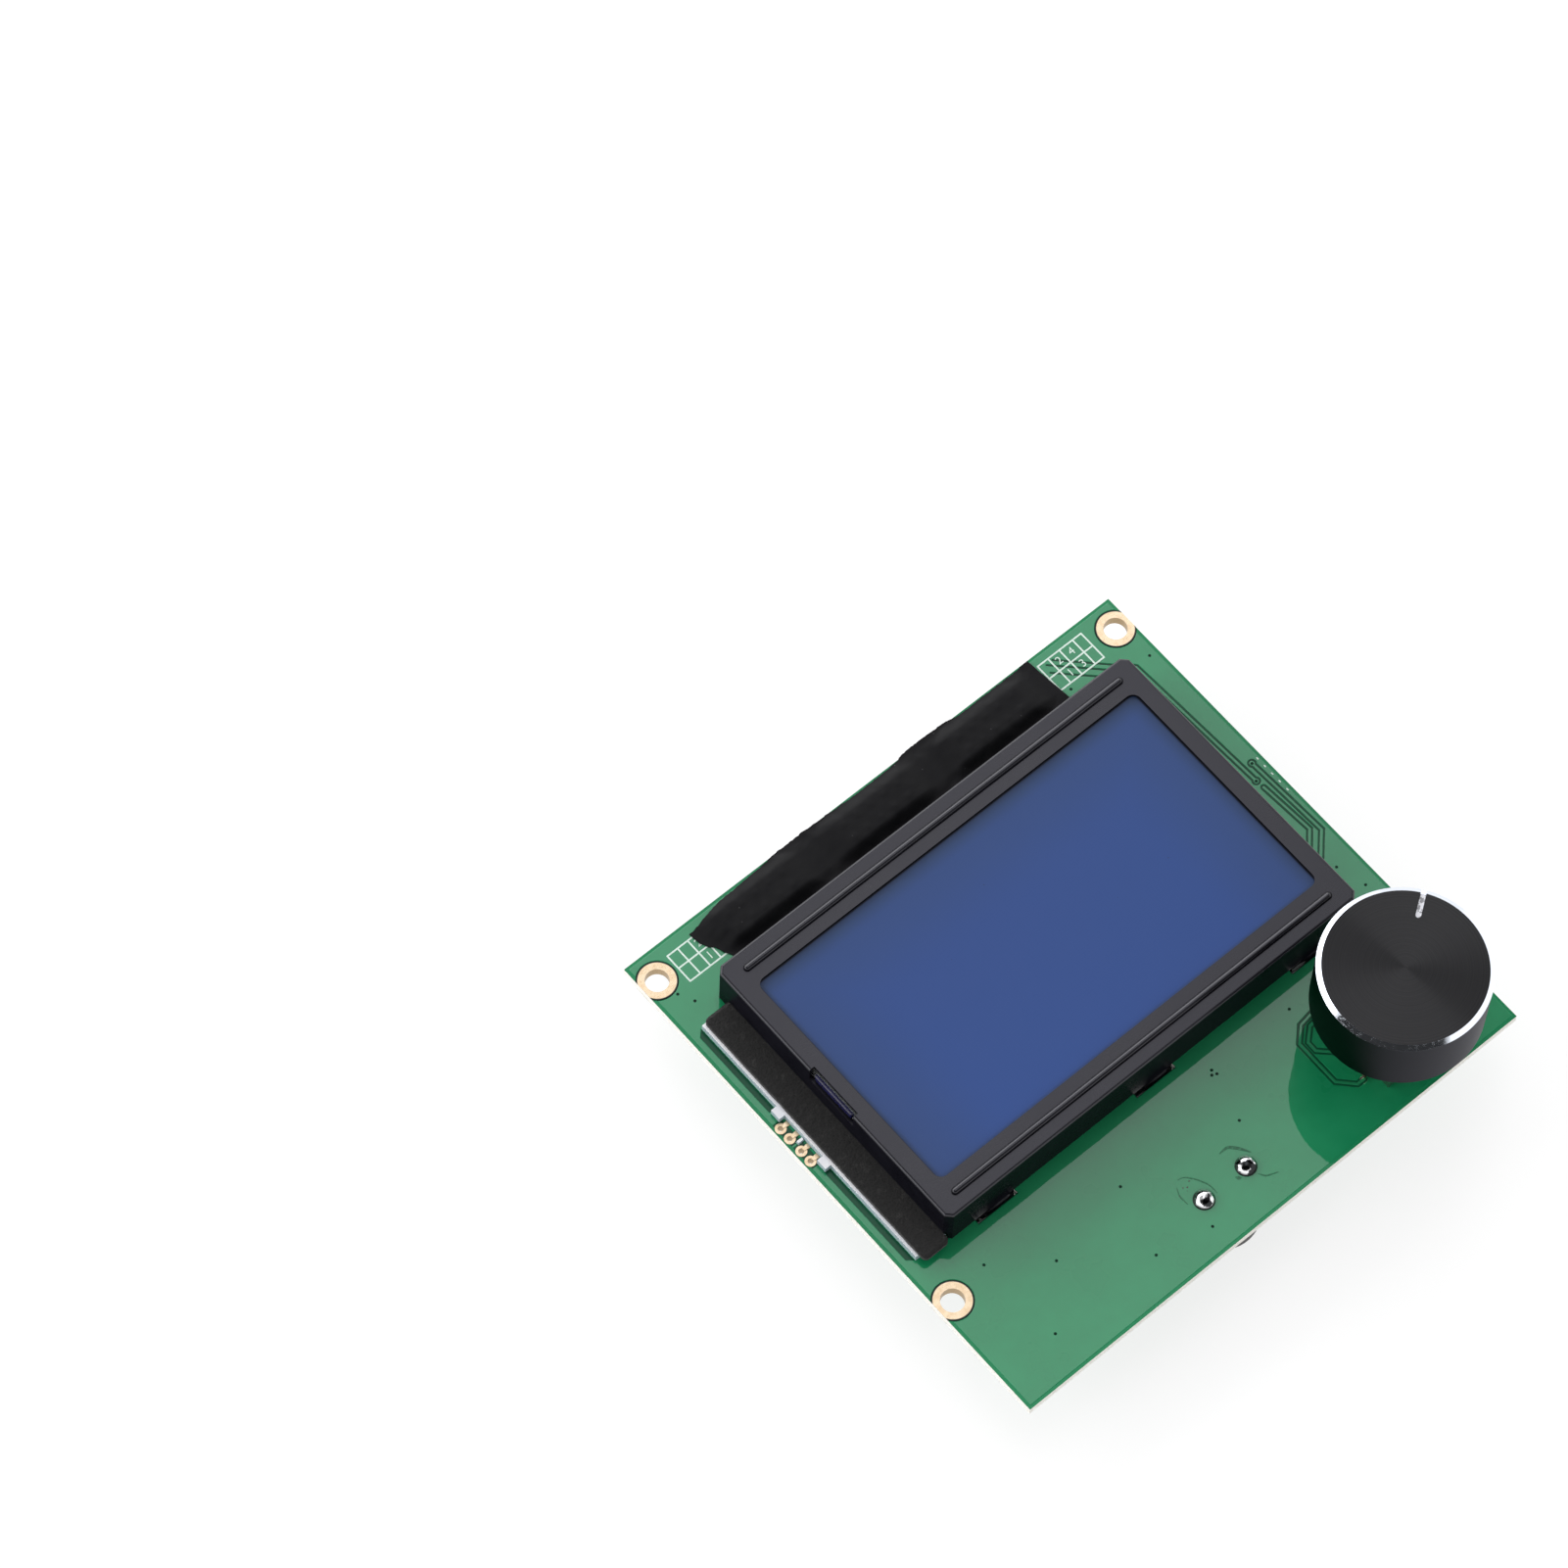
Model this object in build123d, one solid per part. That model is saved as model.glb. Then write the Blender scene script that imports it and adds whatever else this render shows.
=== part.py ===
from build123d import *
import math
import os

# Graphic display control board: a circuit board with a bezelled display, a rotary
# encoder with a large knob, and connectors, buzzer and chips on the rear.
# Millimetres. X runs to the display's right, Y to its top edge, Z out of its front.
# The origin is the centre of the four mounting holes on the board's rear face.

# Board and mounting holes
board_width = 93.0
board_height = 87.8
board_thickness = 1.6
hole_spacing_y = 64.2
hole_top_inset = 4.4
hole_side_inset = 2.5
hole_diameter = 3.6
hole_pad_diameter = 6.0
plating = 0.08
drill_clearance = 0.1
leg_slot_clearance = 0.2

# Display stack, from the board up
display_left_margin = 7.6
display_right_margin = 7.4
display_y = 0.2
tray_floor = 1.3
reflector_thickness = 0.2
guide_thickness = 3.3
diffuser_thickness = 0.3
polarizer_thickness = 0.2
glass_thickness = 1.1
polarizer_margin = 1.2
contact_strip_width = 2.2
contact_strip_gap = 0.4
contact_strip_inset = 2.2
lamp_strip_thickness = 0.6
lamp_strip_length = 40.0
lamp_depth = 0.8
lamp_length = 3.4
lamp_height = 1.6
lamp_count = 6

# Backlight tail, foam and pads at the left of the bezel
tail_reach = 5.1
tail_width = 46.4
tail_offset = -1.2
tail_lug_width = 1.8
tail_lug_reach = 1.0
tail_lug_spacing = 10.0
tail_lug_lift = 0.15
foam_thickness = 0.9
foam_round = 0.27
foam_length = 48.2
foam_offset = -1.8
gold_pad_radius = 0.85
gold_pad_hole = 0.42
gold_pad_gap = 0.6
gold_pad_pitch = 2.0
gold_pad_pair_gap = 4.5

# Bezel
bezel_width = 50.4
bezel_sheet = 0.5
bezel_chamfer = 1.0
bezel_bend = 0.45
window_side_margin = 3.0
window_edge_margin = 5.4
window_corner = 1.4
bead_width = 1.2
bead_height = 0.35
bead_round = 0.28
bead_gap = 2.6
port_notch_width = 9.4
port_notch_depth = 0.9
port_notch_height = 2.9
port_seal_width = 8.0
port_seal_reach = 0.5
port_seal_round = 0.4
wall_gap = 0.3
tab_end_margin = 9.0
tab_width = 4.6
tab_shift = 1.2
tab_foot = 2.6
tab_slot_length = 7.3
tab_slot_outside = 0.7
tab_slot_inside = 0.1

# Box headers on the rear, and the tape over their solder joints on the front
header_count = 3
header_pitch = 22.0
header_row_x = -2.75
header_length = 20.3
header_width = 8.9
header_height = 9.1
header_edge_gap = 0.1
header_wall = 1.25
header_corner = 0.375
header_floor = 2.4
header_key_width = 4.5
header_key_floor = 3.5
pin_side = 0.64
pin_pitch = 2.54
pin_columns = 5
pin_tip_depth = 0.7
pin_tip_chamfer = 0.13
pin_front_length = 1.2
header_joint_radius = 0.95
header_joint_height = 0.96
header_joint_tip = 0.48
tape_end = 1.1
tape_thickness = 0.2
tape_margin = 0.9
tape_rise = 1.35
tape_overhang = 0.35

# Buzzer on the rear
buzzer_x = -2.8
buzzer_edge_inset = 7.8
buzzer_radius = 6.0
buzzer_height = 9.1
buzzer_wall = 0.8
buzzer_round = 0.4
buzzer_base_thickness = 1.0
buzzer_port_radius = 1.1
buzzer_magnet_height = 2.4
buzzer_magnet_wall = 1.3
buzzer_coil_height = 3.0
buzzer_coil_radius = 2.9
buzzer_pole_radius = 1.15
buzzer_air_gap = 0.5
diaphragm_thickness = 0.15
diaphragm_weight_radius = 1.2
diaphragm_weight_height = 0.5
buzzer_ledge = 0.6
buzzer_pin_spacing = 8.0
buzzer_pin_radius = 0.3
buzzer_pin_rise = 0.84
buzzer_joint_radius = 1.65
buzzer_joint_height = 1.2

# Rotary encoder on the front
encoder_side_inset = 15.8
encoder_edge_inset = 9.7
encoder_length = 11.7
encoder_width = 12.0
encoder_base_height = 4.5
encoder_sheet = 0.4
encoder_chamber_radius = 4.9
encoder_chamber_floor = 2.1
encoder_well_radius = 3.0
encoder_well_floor = 0.4
encoder_leg_width = 2.0
encoder_leg_side = 4.5
encoder_leg_depth = 1.8
contact_pin_x = 7.5
switch_pin_x = 7.0
terminal_pitch = 2.5
terminal_width = 0.8
terminal_sheet = 0.3
terminal_rise = 0.5
terminal_depth = 2.0
frame_hole_radius = 4.2
bushing_flange_radius = 5.2
bushing_flange_height = 1.6
bushing_radius = 3.5
bushing_length = 5.0
shaft_radius = 3.0
shaft_length = 15.0
shaft_flat_depth = 1.5
shaft_flat_length = 8.4
shaft_key_side = 3.6
shaft_tip_height = 1.55
shaft_collar_radius = 3.9
shaft_collar_height = 0.25
running_clearance = 0.04
rotor_height = 1.8
rotor_notches = 20
rotor_notch_depth = 0.2
rotor_notch_width = 0.4
spring_sheet = 0.15
spring_inner_radius = 4.0
spring_nose_radius = 0.3
dome_radius = 2.6
dome_height = 0.6
dome_sheet = 0.12
rear_joint_radius = 1.0
rear_joint_height = 1.4
rear_joint_tip = 0.48

# Knob on the encoder shaft
knob_radius = 12.6
knob_height = 11.5
knob_wall = 1.0
knob_top = 1.2
knob_chamfer_width = 0.75
knob_chamfer_height = 0.5
knob_web = 1.5
knob_sleeve = 1.2
knob_sleeve_recess = 1.0
knob_hub_radius = 4.6
knob_hub_recess = 1.5
knob_rib = 1.2
knob_rib_count = 6
knob_shaft_cover = 0.3
pointer_angle = 35.0
pointer_width = 0.8
pointer_length = 4.7
pointer_depth = 0.45

# Chips and contrast trimmer on the rear
resin_radius = 7.0
resin_height = 1.6
resin_edge = 1.3
resin_spacing = 22.0
resin_count = 3
resin_lift = 1.8
chip_length = 2.0
chip_width = 1.25
chip_height = 0.55
chip_cap = 0.35
resistor_pitch = 4.0
resistor_side_inset = 12.5
resistor_strip_share = 0.64
resistor_count = 8
capacitor_pitch = 4.4
capacitor_lift = 14.8
capacitor_count = 10
capacitor_height = 0.8
transistor_from_buzzer = 13.2
transistor_edge_inset = 8.3
transistor_length = 2.9
transistor_width = 1.3
transistor_height = 1.0
lead_width = 0.4
lead_reach = 0.6
lead_height = 0.5
lead_pitch = 1.9
trimmer_side_inset = 10.5
trimmer_lift = 13.8
trimmer_length = 4.5
trimmer_width = 4.0
trimmer_height = 1.5
trimmer_cap_radius = 1.6
trimmer_cap_height = 0.7
trimmer_stem_radius = 0.5
trimmer_flange_radius = 0.85
trimmer_flange_height = 0.25
trimmer_slot_width = 0.5
trimmer_slot_length = 2.56
trimmer_slot_depth = 0.35
trimmer_tab_width = 0.8
trimmer_tab_reach = 0.5
trimmer_tab_height = 0.3

# Places worked out from the sizes above
front = board_thickness
board_top = hole_spacing_y / 2 + hole_top_inset
board_bottom = board_top - board_height
board_left = -board_width / 2
board_right = board_width / 2
hole_radius = hole_diameter / 2
hole_spacing_x = board_width - 2 * hole_side_inset
mounting_holes = [(sx * hole_spacing_x / 2, sy * hole_spacing_y / 2) for sx in (-1, 1) for sy in (-1, 1)]

bezel_left = board_left + display_left_margin
bezel_length = board_right - display_right_margin - bezel_left
display_x = bezel_left + bezel_length / 2
window_length = bezel_length - 2 * window_side_margin
window_width = bezel_width - 2 * window_edge_margin
tab_spacing = bezel_length / 2 - tab_end_margin

reflector_z = front + tray_floor
guide_z = reflector_z + reflector_thickness
diffuser_z = guide_z + guide_thickness
rear_polarizer_z = diffuser_z + diffuser_thickness
rear_glass_z = rear_polarizer_z + polarizer_thickness
front_glass_z = rear_glass_z + glass_thickness
front_polarizer_z = front_glass_z + glass_thickness
bezel_underside = front_polarizer_z + polarizer_thickness
bezel_face = bezel_underside + bezel_sheet
bezel_inner_chamfer = max(bezel_chamfer - bezel_sheet * (2 - math.sqrt(2)), bezel_bend / 2)
stack_length = bezel_length - 2 * (bezel_sheet + wall_gap)
front_glass_width = bezel_width - 2 * (bezel_sheet + wall_gap)
stack_width = front_glass_width - 2 * (contact_strip_width + contact_strip_gap)
stack_left = display_x - stack_length / 2
contact_strip_length = stack_length - 2 * contact_strip_inset
contact_strip_y = (front_glass_width - contact_strip_width) / 2
polarizer_length = window_length + 2 * polarizer_margin
polarizer_width = window_width + 2 * polarizer_margin
tail_left = bezel_left - tail_reach
tail_y = display_y + tail_offset
gold_pad_x = tail_left - gold_pad_gap - gold_pad_radius
gold_pads = [(gold_pad_x, s * (gold_pad_pair_gap - gold_pad_pitch + 2 * i * gold_pad_pitch) / 2)
             for s in (-1, 1) for i in (0, 1)]

header_y = board_top - header_edge_gap - header_width / 2
header_places = [header_row_x + (i - (header_count - 1) / 2) * header_pitch for i in range(header_count)]
pin_offsets = [((i - (pin_columns - 1) / 2) * pin_pitch, sy * pin_pitch / 2)
               for i in range(pin_columns) for sy in (-1, 1)]
tape_length = (header_count - 1) * header_pitch + header_length + 2 * tape_end
header_pins = [(x + dx, header_y + dy) for x in header_places for dx, dy in pin_offsets]
pin_drill = pin_side * math.sqrt(2) / 2 + drill_clearance / 2

buzzer_y = board_bottom + buzzer_edge_inset
buzzer_pins = [(buzzer_x + s * buzzer_pin_spacing / 2, buzzer_y) for s in (-1, 1)]
buzzer_drill = buzzer_pin_radius + drill_clearance

encoder_x = board_right - encoder_side_inset
encoder_y = board_bottom + encoder_edge_inset
terminal_places = [(-contact_pin_x, dy * terminal_pitch) for dy in (-1, 0, 1)]
terminal_places += [(switch_pin_x, dy * terminal_pitch) for dy in (-1, 1)]
terminal_drill = math.hypot(terminal_width, terminal_sheet) / 2 + drill_clearance
frame_z = front + encoder_base_height
bushing_z = frame_z + encoder_sheet
bushing_top = bushing_z + bushing_flange_height + bushing_length
shaft_top = bushing_z + bushing_flange_height + shaft_length
knob_top_z = shaft_top + knob_shaft_cover + knob_top
knob_bottom_z = knob_top_z - knob_height
hub_bottom_z = bushing_top + knob_hub_recess

resin_places = [(display_x + (i - (resin_count - 1) / 2) * resin_spacing, display_y + resin_lift)
                for i in range(resin_count)]
resistor_x = board_left + resistor_side_inset
bezel_bottom = display_y - bezel_width / 2
resistor_y = bezel_bottom - resistor_strip_share * (bezel_bottom - buzzer_y - buzzer_radius)
capacitor_x = display_x - (capacitor_count - 1) / 2 * capacitor_pitch
capacitor_y = display_y + capacitor_lift
transistor_x = buzzer_x - transistor_from_buzzer
transistor_y = board_bottom + transistor_edge_inset
trimmer_x = board_right - trimmer_side_inset
trimmer_y = display_y + trimmer_lift


# Basic shapes
def block(x0, x1, y0, y1, z0, z1):
    return Pos((x0 + x1) / 2, (y0 + y1) / 2, (z0 + z1) / 2) * Box(x1 - x0, y1 - y0, z1 - z0)


def slab(x, y, z0, length, width, height):
    return Pos(x, y, z0 + height / 2) * Box(length, width, height)


def rod(x, y, z0, z1, radius):
    return Pos(x, y, (z0 + z1) / 2) * Cylinder(radius, abs(z1 - z0))


def ring(x, y, z0, z1, outer, inner):
    return rod(x, y, z0, z1, outer) - rod(x, y, z0, z1, inner)


def group(solids):
    return Compound(children=[s for part in solids for s in part.solids()])


def tab_places():
    for side in (-1, 1):
        wall_y = display_y + side * bezel_width / 2
        for i in (-1, 0, 1):
            yield display_x + i * tab_spacing, wall_y, side


# Circuit board with its drilled holes and slots
def circuit_board():
    board = block(board_left, board_right, board_bottom, board_top, 0, front)
    cuts = [rod(x, y, 0, front, hole_radius + plating) for x, y in mounting_holes]
    cuts += [rod(x, y, 0, front, gold_pad_hole + plating) for x, y in gold_pads]
    cuts += [rod(x, y, 0, front, pin_drill) for x, y in header_pins]
    cuts += [rod(x, y, 0, front, buzzer_drill) for x, y in buzzer_pins]
    cuts += [rod(encoder_x + dx, encoder_y + dy, 0, front, terminal_drill) for dx, dy in terminal_places]
    for side in (-1, 1):
        leg_y = encoder_y + side * (encoder_width + encoder_sheet) / 2
        cuts.append(slab(encoder_x, leg_y, 0, encoder_leg_width + 2 * leg_slot_clearance,
                         encoder_sheet + 2 * leg_slot_clearance, front))
    for x, wall_y, side in tab_places():
        y_in = wall_y - side * (bezel_sheet + tab_slot_inside)
        y_out = wall_y + side * tab_slot_outside
        cuts.append(slab(x, (y_in + y_out) / 2, 0, tab_slot_length, abs(y_out - y_in), front))
    return board - cuts


def plated_hole(x, y, pad_radius, bore_radius):
    pads = ring(x, y, -plating, 0, pad_radius, bore_radius)
    pads += ring(x, y, front, front + plating, pad_radius, bore_radius)
    return pads + ring(x, y, -plating, front + plating, bore_radius + plating, bore_radius)


def mounting_hole_plating():
    limits = block(board_left, board_right, board_bottom, board_top, -plating, front + plating)
    return group([plated_hole(x, y, hole_pad_diameter / 2, hole_radius) & limits for x, y in mounting_holes])


def backlight_pads():
    return group([plated_hole(x, y, gold_pad_radius, gold_pad_hole) for x, y in gold_pads])


# Display stack
def backlight_tray():
    stack_right = stack_left + stack_length
    floor = block(stack_left, stack_right, display_y - stack_width / 2, display_y + stack_width / 2,
                  front, front + tray_floor)
    tail = block(tail_left, bezel_left + bezel_sheet, tail_y - tail_width / 2, tail_y + tail_width / 2,
                 front, front + tray_floor)
    neck = block(tail_left + tail_reach / 2, stack_left + wall_gap, display_y - stack_width / 2,
                 display_y + stack_width / 2, front, front + tray_floor)
    lugs = [slab(tail_left - tail_lug_reach / 2, s * tail_lug_spacing / 2, front + tail_lug_lift,
                 tail_lug_reach, tail_lug_width, tray_floor - tail_lug_lift) for s in (-1, 1)]
    return floor + tail + neck + lugs


def reflector_sheet():
    return slab(display_x, display_y, reflector_z, stack_length, stack_width, reflector_thickness)


def lamp_strip():
    x = stack_left + lamp_strip_thickness / 2
    return slab(x, display_y, guide_z, lamp_strip_thickness, lamp_strip_length, guide_thickness)


def backlight_lamps():
    x = stack_left + lamp_strip_thickness + lamp_depth / 2
    z = guide_z + (guide_thickness - lamp_height) / 2
    pitch = lamp_strip_length / lamp_count
    places = [display_y + (i - (lamp_count - 1) / 2) * pitch for i in range(lamp_count)]
    return group([slab(x, y, z, lamp_depth, lamp_length, lamp_height) for y in places])


def light_guide():
    left = stack_left + lamp_strip_thickness + lamp_depth
    return block(left, stack_left + stack_length, display_y - stack_width / 2, display_y + stack_width / 2,
                 guide_z, guide_z + guide_thickness)


def diffuser_sheet():
    return slab(display_x, display_y, diffuser_z, stack_length, stack_width, diffuser_thickness)


def polarizer(z):
    return slab(display_x, display_y, z, polarizer_length, polarizer_width, polarizer_thickness)


def rear_glass():
    return slab(display_x, display_y, rear_glass_z, stack_length, stack_width, glass_thickness)


def front_glass():
    glass = slab(display_x, display_y, front_glass_z, stack_length, front_glass_width, glass_thickness)
    return chamfer(glass.edges().filter_by(Axis.Z), bezel_chamfer)


def filling_port_seal():
    seal = slab(stack_left - port_seal_reach / 2, display_y, rear_glass_z + glass_thickness / 2,
                port_seal_reach, port_seal_width, glass_thickness)
    outer_edges = seal.edges().filter_by(Axis.Z).group_by(Axis.X)[0]
    return fillet(outer_edges, port_seal_round)


def contact_strip(side):
    height = front_glass_z - front
    return slab(display_x, display_y + side * contact_strip_y, front, contact_strip_length,
                contact_strip_width, height)


def foam_pad():
    x0 = tail_left + bezel_sheet / 2
    y = display_y + foam_offset
    foam = block(x0, bezel_left, y - foam_length / 2, y + foam_length / 2,
                 front + tray_floor, front + tray_floor + foam_thickness)
    return fillet(foam.edges().group_by(Axis.Z)[-1], foam_round)


# Bezel: one pressed sheet with window, beads, filling port notch and six bent tabs
def bezel_frame():
    height = bezel_face - front
    shell = slab(display_x, display_y, front, bezel_length, bezel_width, height)
    shell = chamfer(shell.edges().filter_by(Axis.Z), bezel_chamfer)
    shell = fillet(shell.edges().group_by(Axis.Z)[-1], bezel_bend)
    inside = slab(display_x, display_y, front, bezel_length - 2 * bezel_sheet,
                  bezel_width - 2 * bezel_sheet, height - bezel_sheet)
    inside = chamfer(inside.edges().filter_by(Axis.Z), bezel_inner_chamfer)
    shell -= inside
    window = Pos(display_x, display_y, bezel_underside) * extrude(
        RectangleRounded(window_length, window_width, window_corner), bezel_sheet)
    shell -= window
    for side in (-1, 1):
        y = display_y + side * (window_width / 2 + bead_gap)
        bead = Pos(display_x, y, bezel_face) * extrude(SlotOverall(window_length, bead_width), bead_height)
        bead = fillet(bead.edges().group_by(Axis.Z)[-1], bead_round)
        groove_width = bead_width - bezel_sheet
        groove = Pos(display_x, y, bezel_underside) * extrude(
            SlotOverall(window_length - bezel_sheet, groove_width), bead_height)
        shell = shell + bead - groove
    shell -= block(bezel_left, bezel_left + port_notch_depth, display_y - port_notch_width / 2,
                   display_y + port_notch_width / 2, bezel_face - port_notch_height, bezel_face)
    shell -= block(bezel_left, bezel_left + bezel_sheet + wall_gap, tail_y - tail_width / 2 - wall_gap,
                   tail_y + tail_width / 2 + wall_gap, front, front + tray_floor + wall_gap / 2)
    for x, wall_y, side in tab_places():
        tab_x = x + tab_shift
        strip_y = wall_y - side * bezel_sheet / 2
        shell += slab(tab_x, strip_y, -bezel_sheet, tab_width, bezel_sheet, front + 2 * bezel_sheet)
        foot_y = wall_y - side * tab_foot / 2
        shell += slab(tab_x, foot_y, -bezel_sheet, tab_width, tab_foot, bezel_sheet)
    return shell


# Box headers: shroud, pins, solder joints and tape
def header_shroud(x):
    shroud = slab(x, header_y, -header_height, header_length, header_width, header_height)
    shroud = chamfer(shroud.edges().filter_by(Axis.Z), header_corner)
    cavity_height = header_height - header_floor
    shroud -= slab(x, header_y, -header_height, header_length - 2 * header_wall,
                   header_width - 2 * header_wall, cavity_height)
    key_height = header_height - header_key_floor
    shroud -= slab(x, header_y - header_width / 2 + header_wall / 2, -header_height,
                   header_key_width, header_wall, key_height)
    pins = [slab(x + dx, header_y + dy, -header_floor, pin_side, pin_side, header_floor)
            for dx, dy in pin_offsets]
    return shroud - pins


def header_pin_set(x):
    z0 = -header_height + pin_tip_depth
    length = front + pin_front_length - z0
    pins = []
    for dx, dy in pin_offsets:
        pin = slab(x + dx, header_y + dy, z0, pin_side, pin_side, length)
        tips = pin.edges().group_by(Axis.Z)
        pins.append(chamfer(tips[0] + tips[-1], pin_tip_chamfer))
    return group(pins)


def header_solder():
    joints = []
    pin_z = front + pin_front_length
    cone_z = front + header_joint_height / 2
    for x, y in header_pins:
        cone = Pos(x, y, cone_z) * Cone(header_joint_radius, header_joint_tip, header_joint_height)
        joint = cone + rod(x, y, 0, front, pin_drill)
        joints.append(joint - slab(x, y, 0, pin_side, pin_side, pin_z))
    return group(joints)


def insulating_tape():
    low = header_y - header_width / 2
    high = board_top + tape_overhang
    shoulder = pin_pitch / 2 + header_joint_radius + tape_margin
    top = front + tape_rise
    inner = [(low, front), (header_y - shoulder, front), (header_y - shoulder + tape_margin, top),
             (header_y + shoulder - tape_margin, top), (header_y + shoulder, front), (high, front)]
    outer = [(high, front + tape_thickness),
             (header_y + shoulder + tape_thickness, front + tape_thickness),
             (header_y + shoulder - tape_margin + tape_thickness, top + tape_thickness),
             (header_y - shoulder + tape_margin - tape_thickness, top + tape_thickness),
             (header_y - shoulder - tape_thickness, front + tape_thickness), (low, front + tape_thickness)]
    profile = make_face(Plane.YZ * Polyline(*inner, *outer, close=True))
    return Pos(header_row_x - tape_length / 2, 0, 0) * extrude(profile, tape_length, dir=(1, 0, 0))


# Magnetic buzzer, hanging under the board
def buzzer_case():
    case = rod(buzzer_x, buzzer_y, -buzzer_height, 0, buzzer_radius)
    case = fillet(case.edges().group_by(Axis.Z)[0], buzzer_round)
    inner = buzzer_radius - buzzer_wall
    diaphragm_z = buzzer_diaphragm_z()
    case -= rod(buzzer_x, buzzer_y, diaphragm_z, 0, inner)
    case -= rod(buzzer_x, buzzer_y, -buzzer_height + buzzer_wall, diaphragm_z, inner - buzzer_ledge)
    return case - rod(buzzer_x, buzzer_y, -buzzer_height, -buzzer_height + buzzer_wall, buzzer_port_radius)


def buzzer_diaphragm_z():
    return -(buzzer_base_thickness + buzzer_coil_height + buzzer_air_gap + diaphragm_thickness)


def buzzer_base():
    base = rod(buzzer_x, buzzer_y, -buzzer_base_thickness, 0, buzzer_radius - buzzer_wall)
    return base - [rod(x, y, -buzzer_base_thickness, 0, buzzer_pin_radius) for x, y in buzzer_pins]


def buzzer_magnet():
    outer = buzzer_radius - buzzer_wall
    z0 = -buzzer_base_thickness - buzzer_magnet_height
    return ring(buzzer_x, buzzer_y, z0, -buzzer_base_thickness, outer, outer - buzzer_magnet_wall)


def buzzer_coil():
    z0 = -buzzer_base_thickness - buzzer_coil_height
    return ring(buzzer_x, buzzer_y, z0, -buzzer_base_thickness, buzzer_coil_radius, buzzer_pole_radius)


def buzzer_pole():
    z0 = -buzzer_base_thickness - buzzer_coil_height
    return rod(buzzer_x, buzzer_y, z0, -buzzer_base_thickness, buzzer_pole_radius)


def buzzer_diaphragm():
    z0 = buzzer_diaphragm_z()
    disc = rod(buzzer_x, buzzer_y, z0, z0 + diaphragm_thickness, buzzer_radius - buzzer_wall)
    return disc + rod(buzzer_x, buzzer_y, z0 - diaphragm_weight_height, z0, diaphragm_weight_radius)


def buzzer_pin_set():
    top = front + buzzer_pin_rise
    return group([rod(x, y, -buzzer_base_thickness, top, buzzer_pin_radius) for x, y in buzzer_pins])


def solder_cap(x, y, radius, height):
    sphere_radius = (radius ** 2 + height ** 2) / (2 * height)
    ball = Pos(x, y, front + height - sphere_radius) * Sphere(sphere_radius)
    return ball & rod(x, y, front, front + height, radius)


def buzzer_solder():
    joints = []
    for x, y in buzzer_pins:
        cap = solder_cap(x, y, buzzer_joint_radius, buzzer_joint_height)
        joint = cap + rod(x, y, 0, front, buzzer_drill)
        joints.append(joint - rod(x, y, 0, front + buzzer_pin_rise, buzzer_pin_radius))
    return group(joints)


# Rotary encoder
def encoder_base():
    base = slab(encoder_x, encoder_y, front, encoder_length, encoder_width, encoder_base_height)
    base -= rod(encoder_x, encoder_y, front + encoder_chamber_floor, frame_z, encoder_chamber_radius)
    return base - rod(encoder_x, encoder_y, front + encoder_well_floor,
                      front + encoder_chamber_floor, encoder_well_radius)


def encoder_terminals():
    terminals = []
    for dx, dy in terminal_places:
        side = math.copysign(1, dx)
        x_body = encoder_x + side * encoder_length / 2
        x_out = encoder_x + dx + side * terminal_sheet / 2
        y = encoder_y + dy
        z0 = front + terminal_rise
        arm = slab((x_body + x_out) / 2, y, z0, abs(x_out - x_body), terminal_width, terminal_sheet)
        leg = slab(encoder_x + dx, y, -terminal_depth, terminal_sheet, terminal_width,
                   z0 + terminal_sheet + terminal_depth)
        terminals.append(arm + leg)
    return group(terminals)


def encoder_frame():
    plate = slab(encoder_x, encoder_y, frame_z, encoder_length, encoder_width + 2 * encoder_sheet,
                 encoder_sheet)
    plate -= rod(encoder_x, encoder_y, frame_z, bushing_z, frame_hole_radius)
    for side in (-1, 1):
        y = encoder_y + side * (encoder_width + encoder_sheet) / 2
        plate += slab(encoder_x, y, front, encoder_leg_side, encoder_sheet, encoder_base_height)
        plate += slab(encoder_x, y, -encoder_leg_depth, encoder_leg_width, encoder_sheet,
                      front + encoder_leg_depth)
    return plate


def encoder_bushing():
    flange_top = bushing_z + bushing_flange_height
    bushing = rod(encoder_x, encoder_y, bushing_z, flange_top, bushing_flange_radius)
    bushing += rod(encoder_x, encoder_y, flange_top, bushing_top, bushing_radius)
    bushing = chamfer(bushing.edges().group_by(Axis.Z)[-1], encoder_sheet)
    return bushing - rod(encoder_x, encoder_y, bushing_z, bushing_top, shaft_radius + running_clearance)


def detent_spring():
    z0 = frame_z - spring_sheet
    spring = ring(encoder_x, encoder_y, z0, frame_z, encoder_chamber_radius, spring_inner_radius)
    nose_x = (encoder_chamber_radius + spring_inner_radius) / 2
    for side in (-1, 1):
        nose = Pos(encoder_x + side * nose_x, encoder_y, z0) * Sphere(spring_nose_radius)
        spring += nose & slab(encoder_x, encoder_y, z0 - spring_nose_radius, encoder_length,
                              encoder_width, spring_nose_radius)
    return spring


def rotor_base_z():
    return front + encoder_chamber_floor + running_clearance


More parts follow.
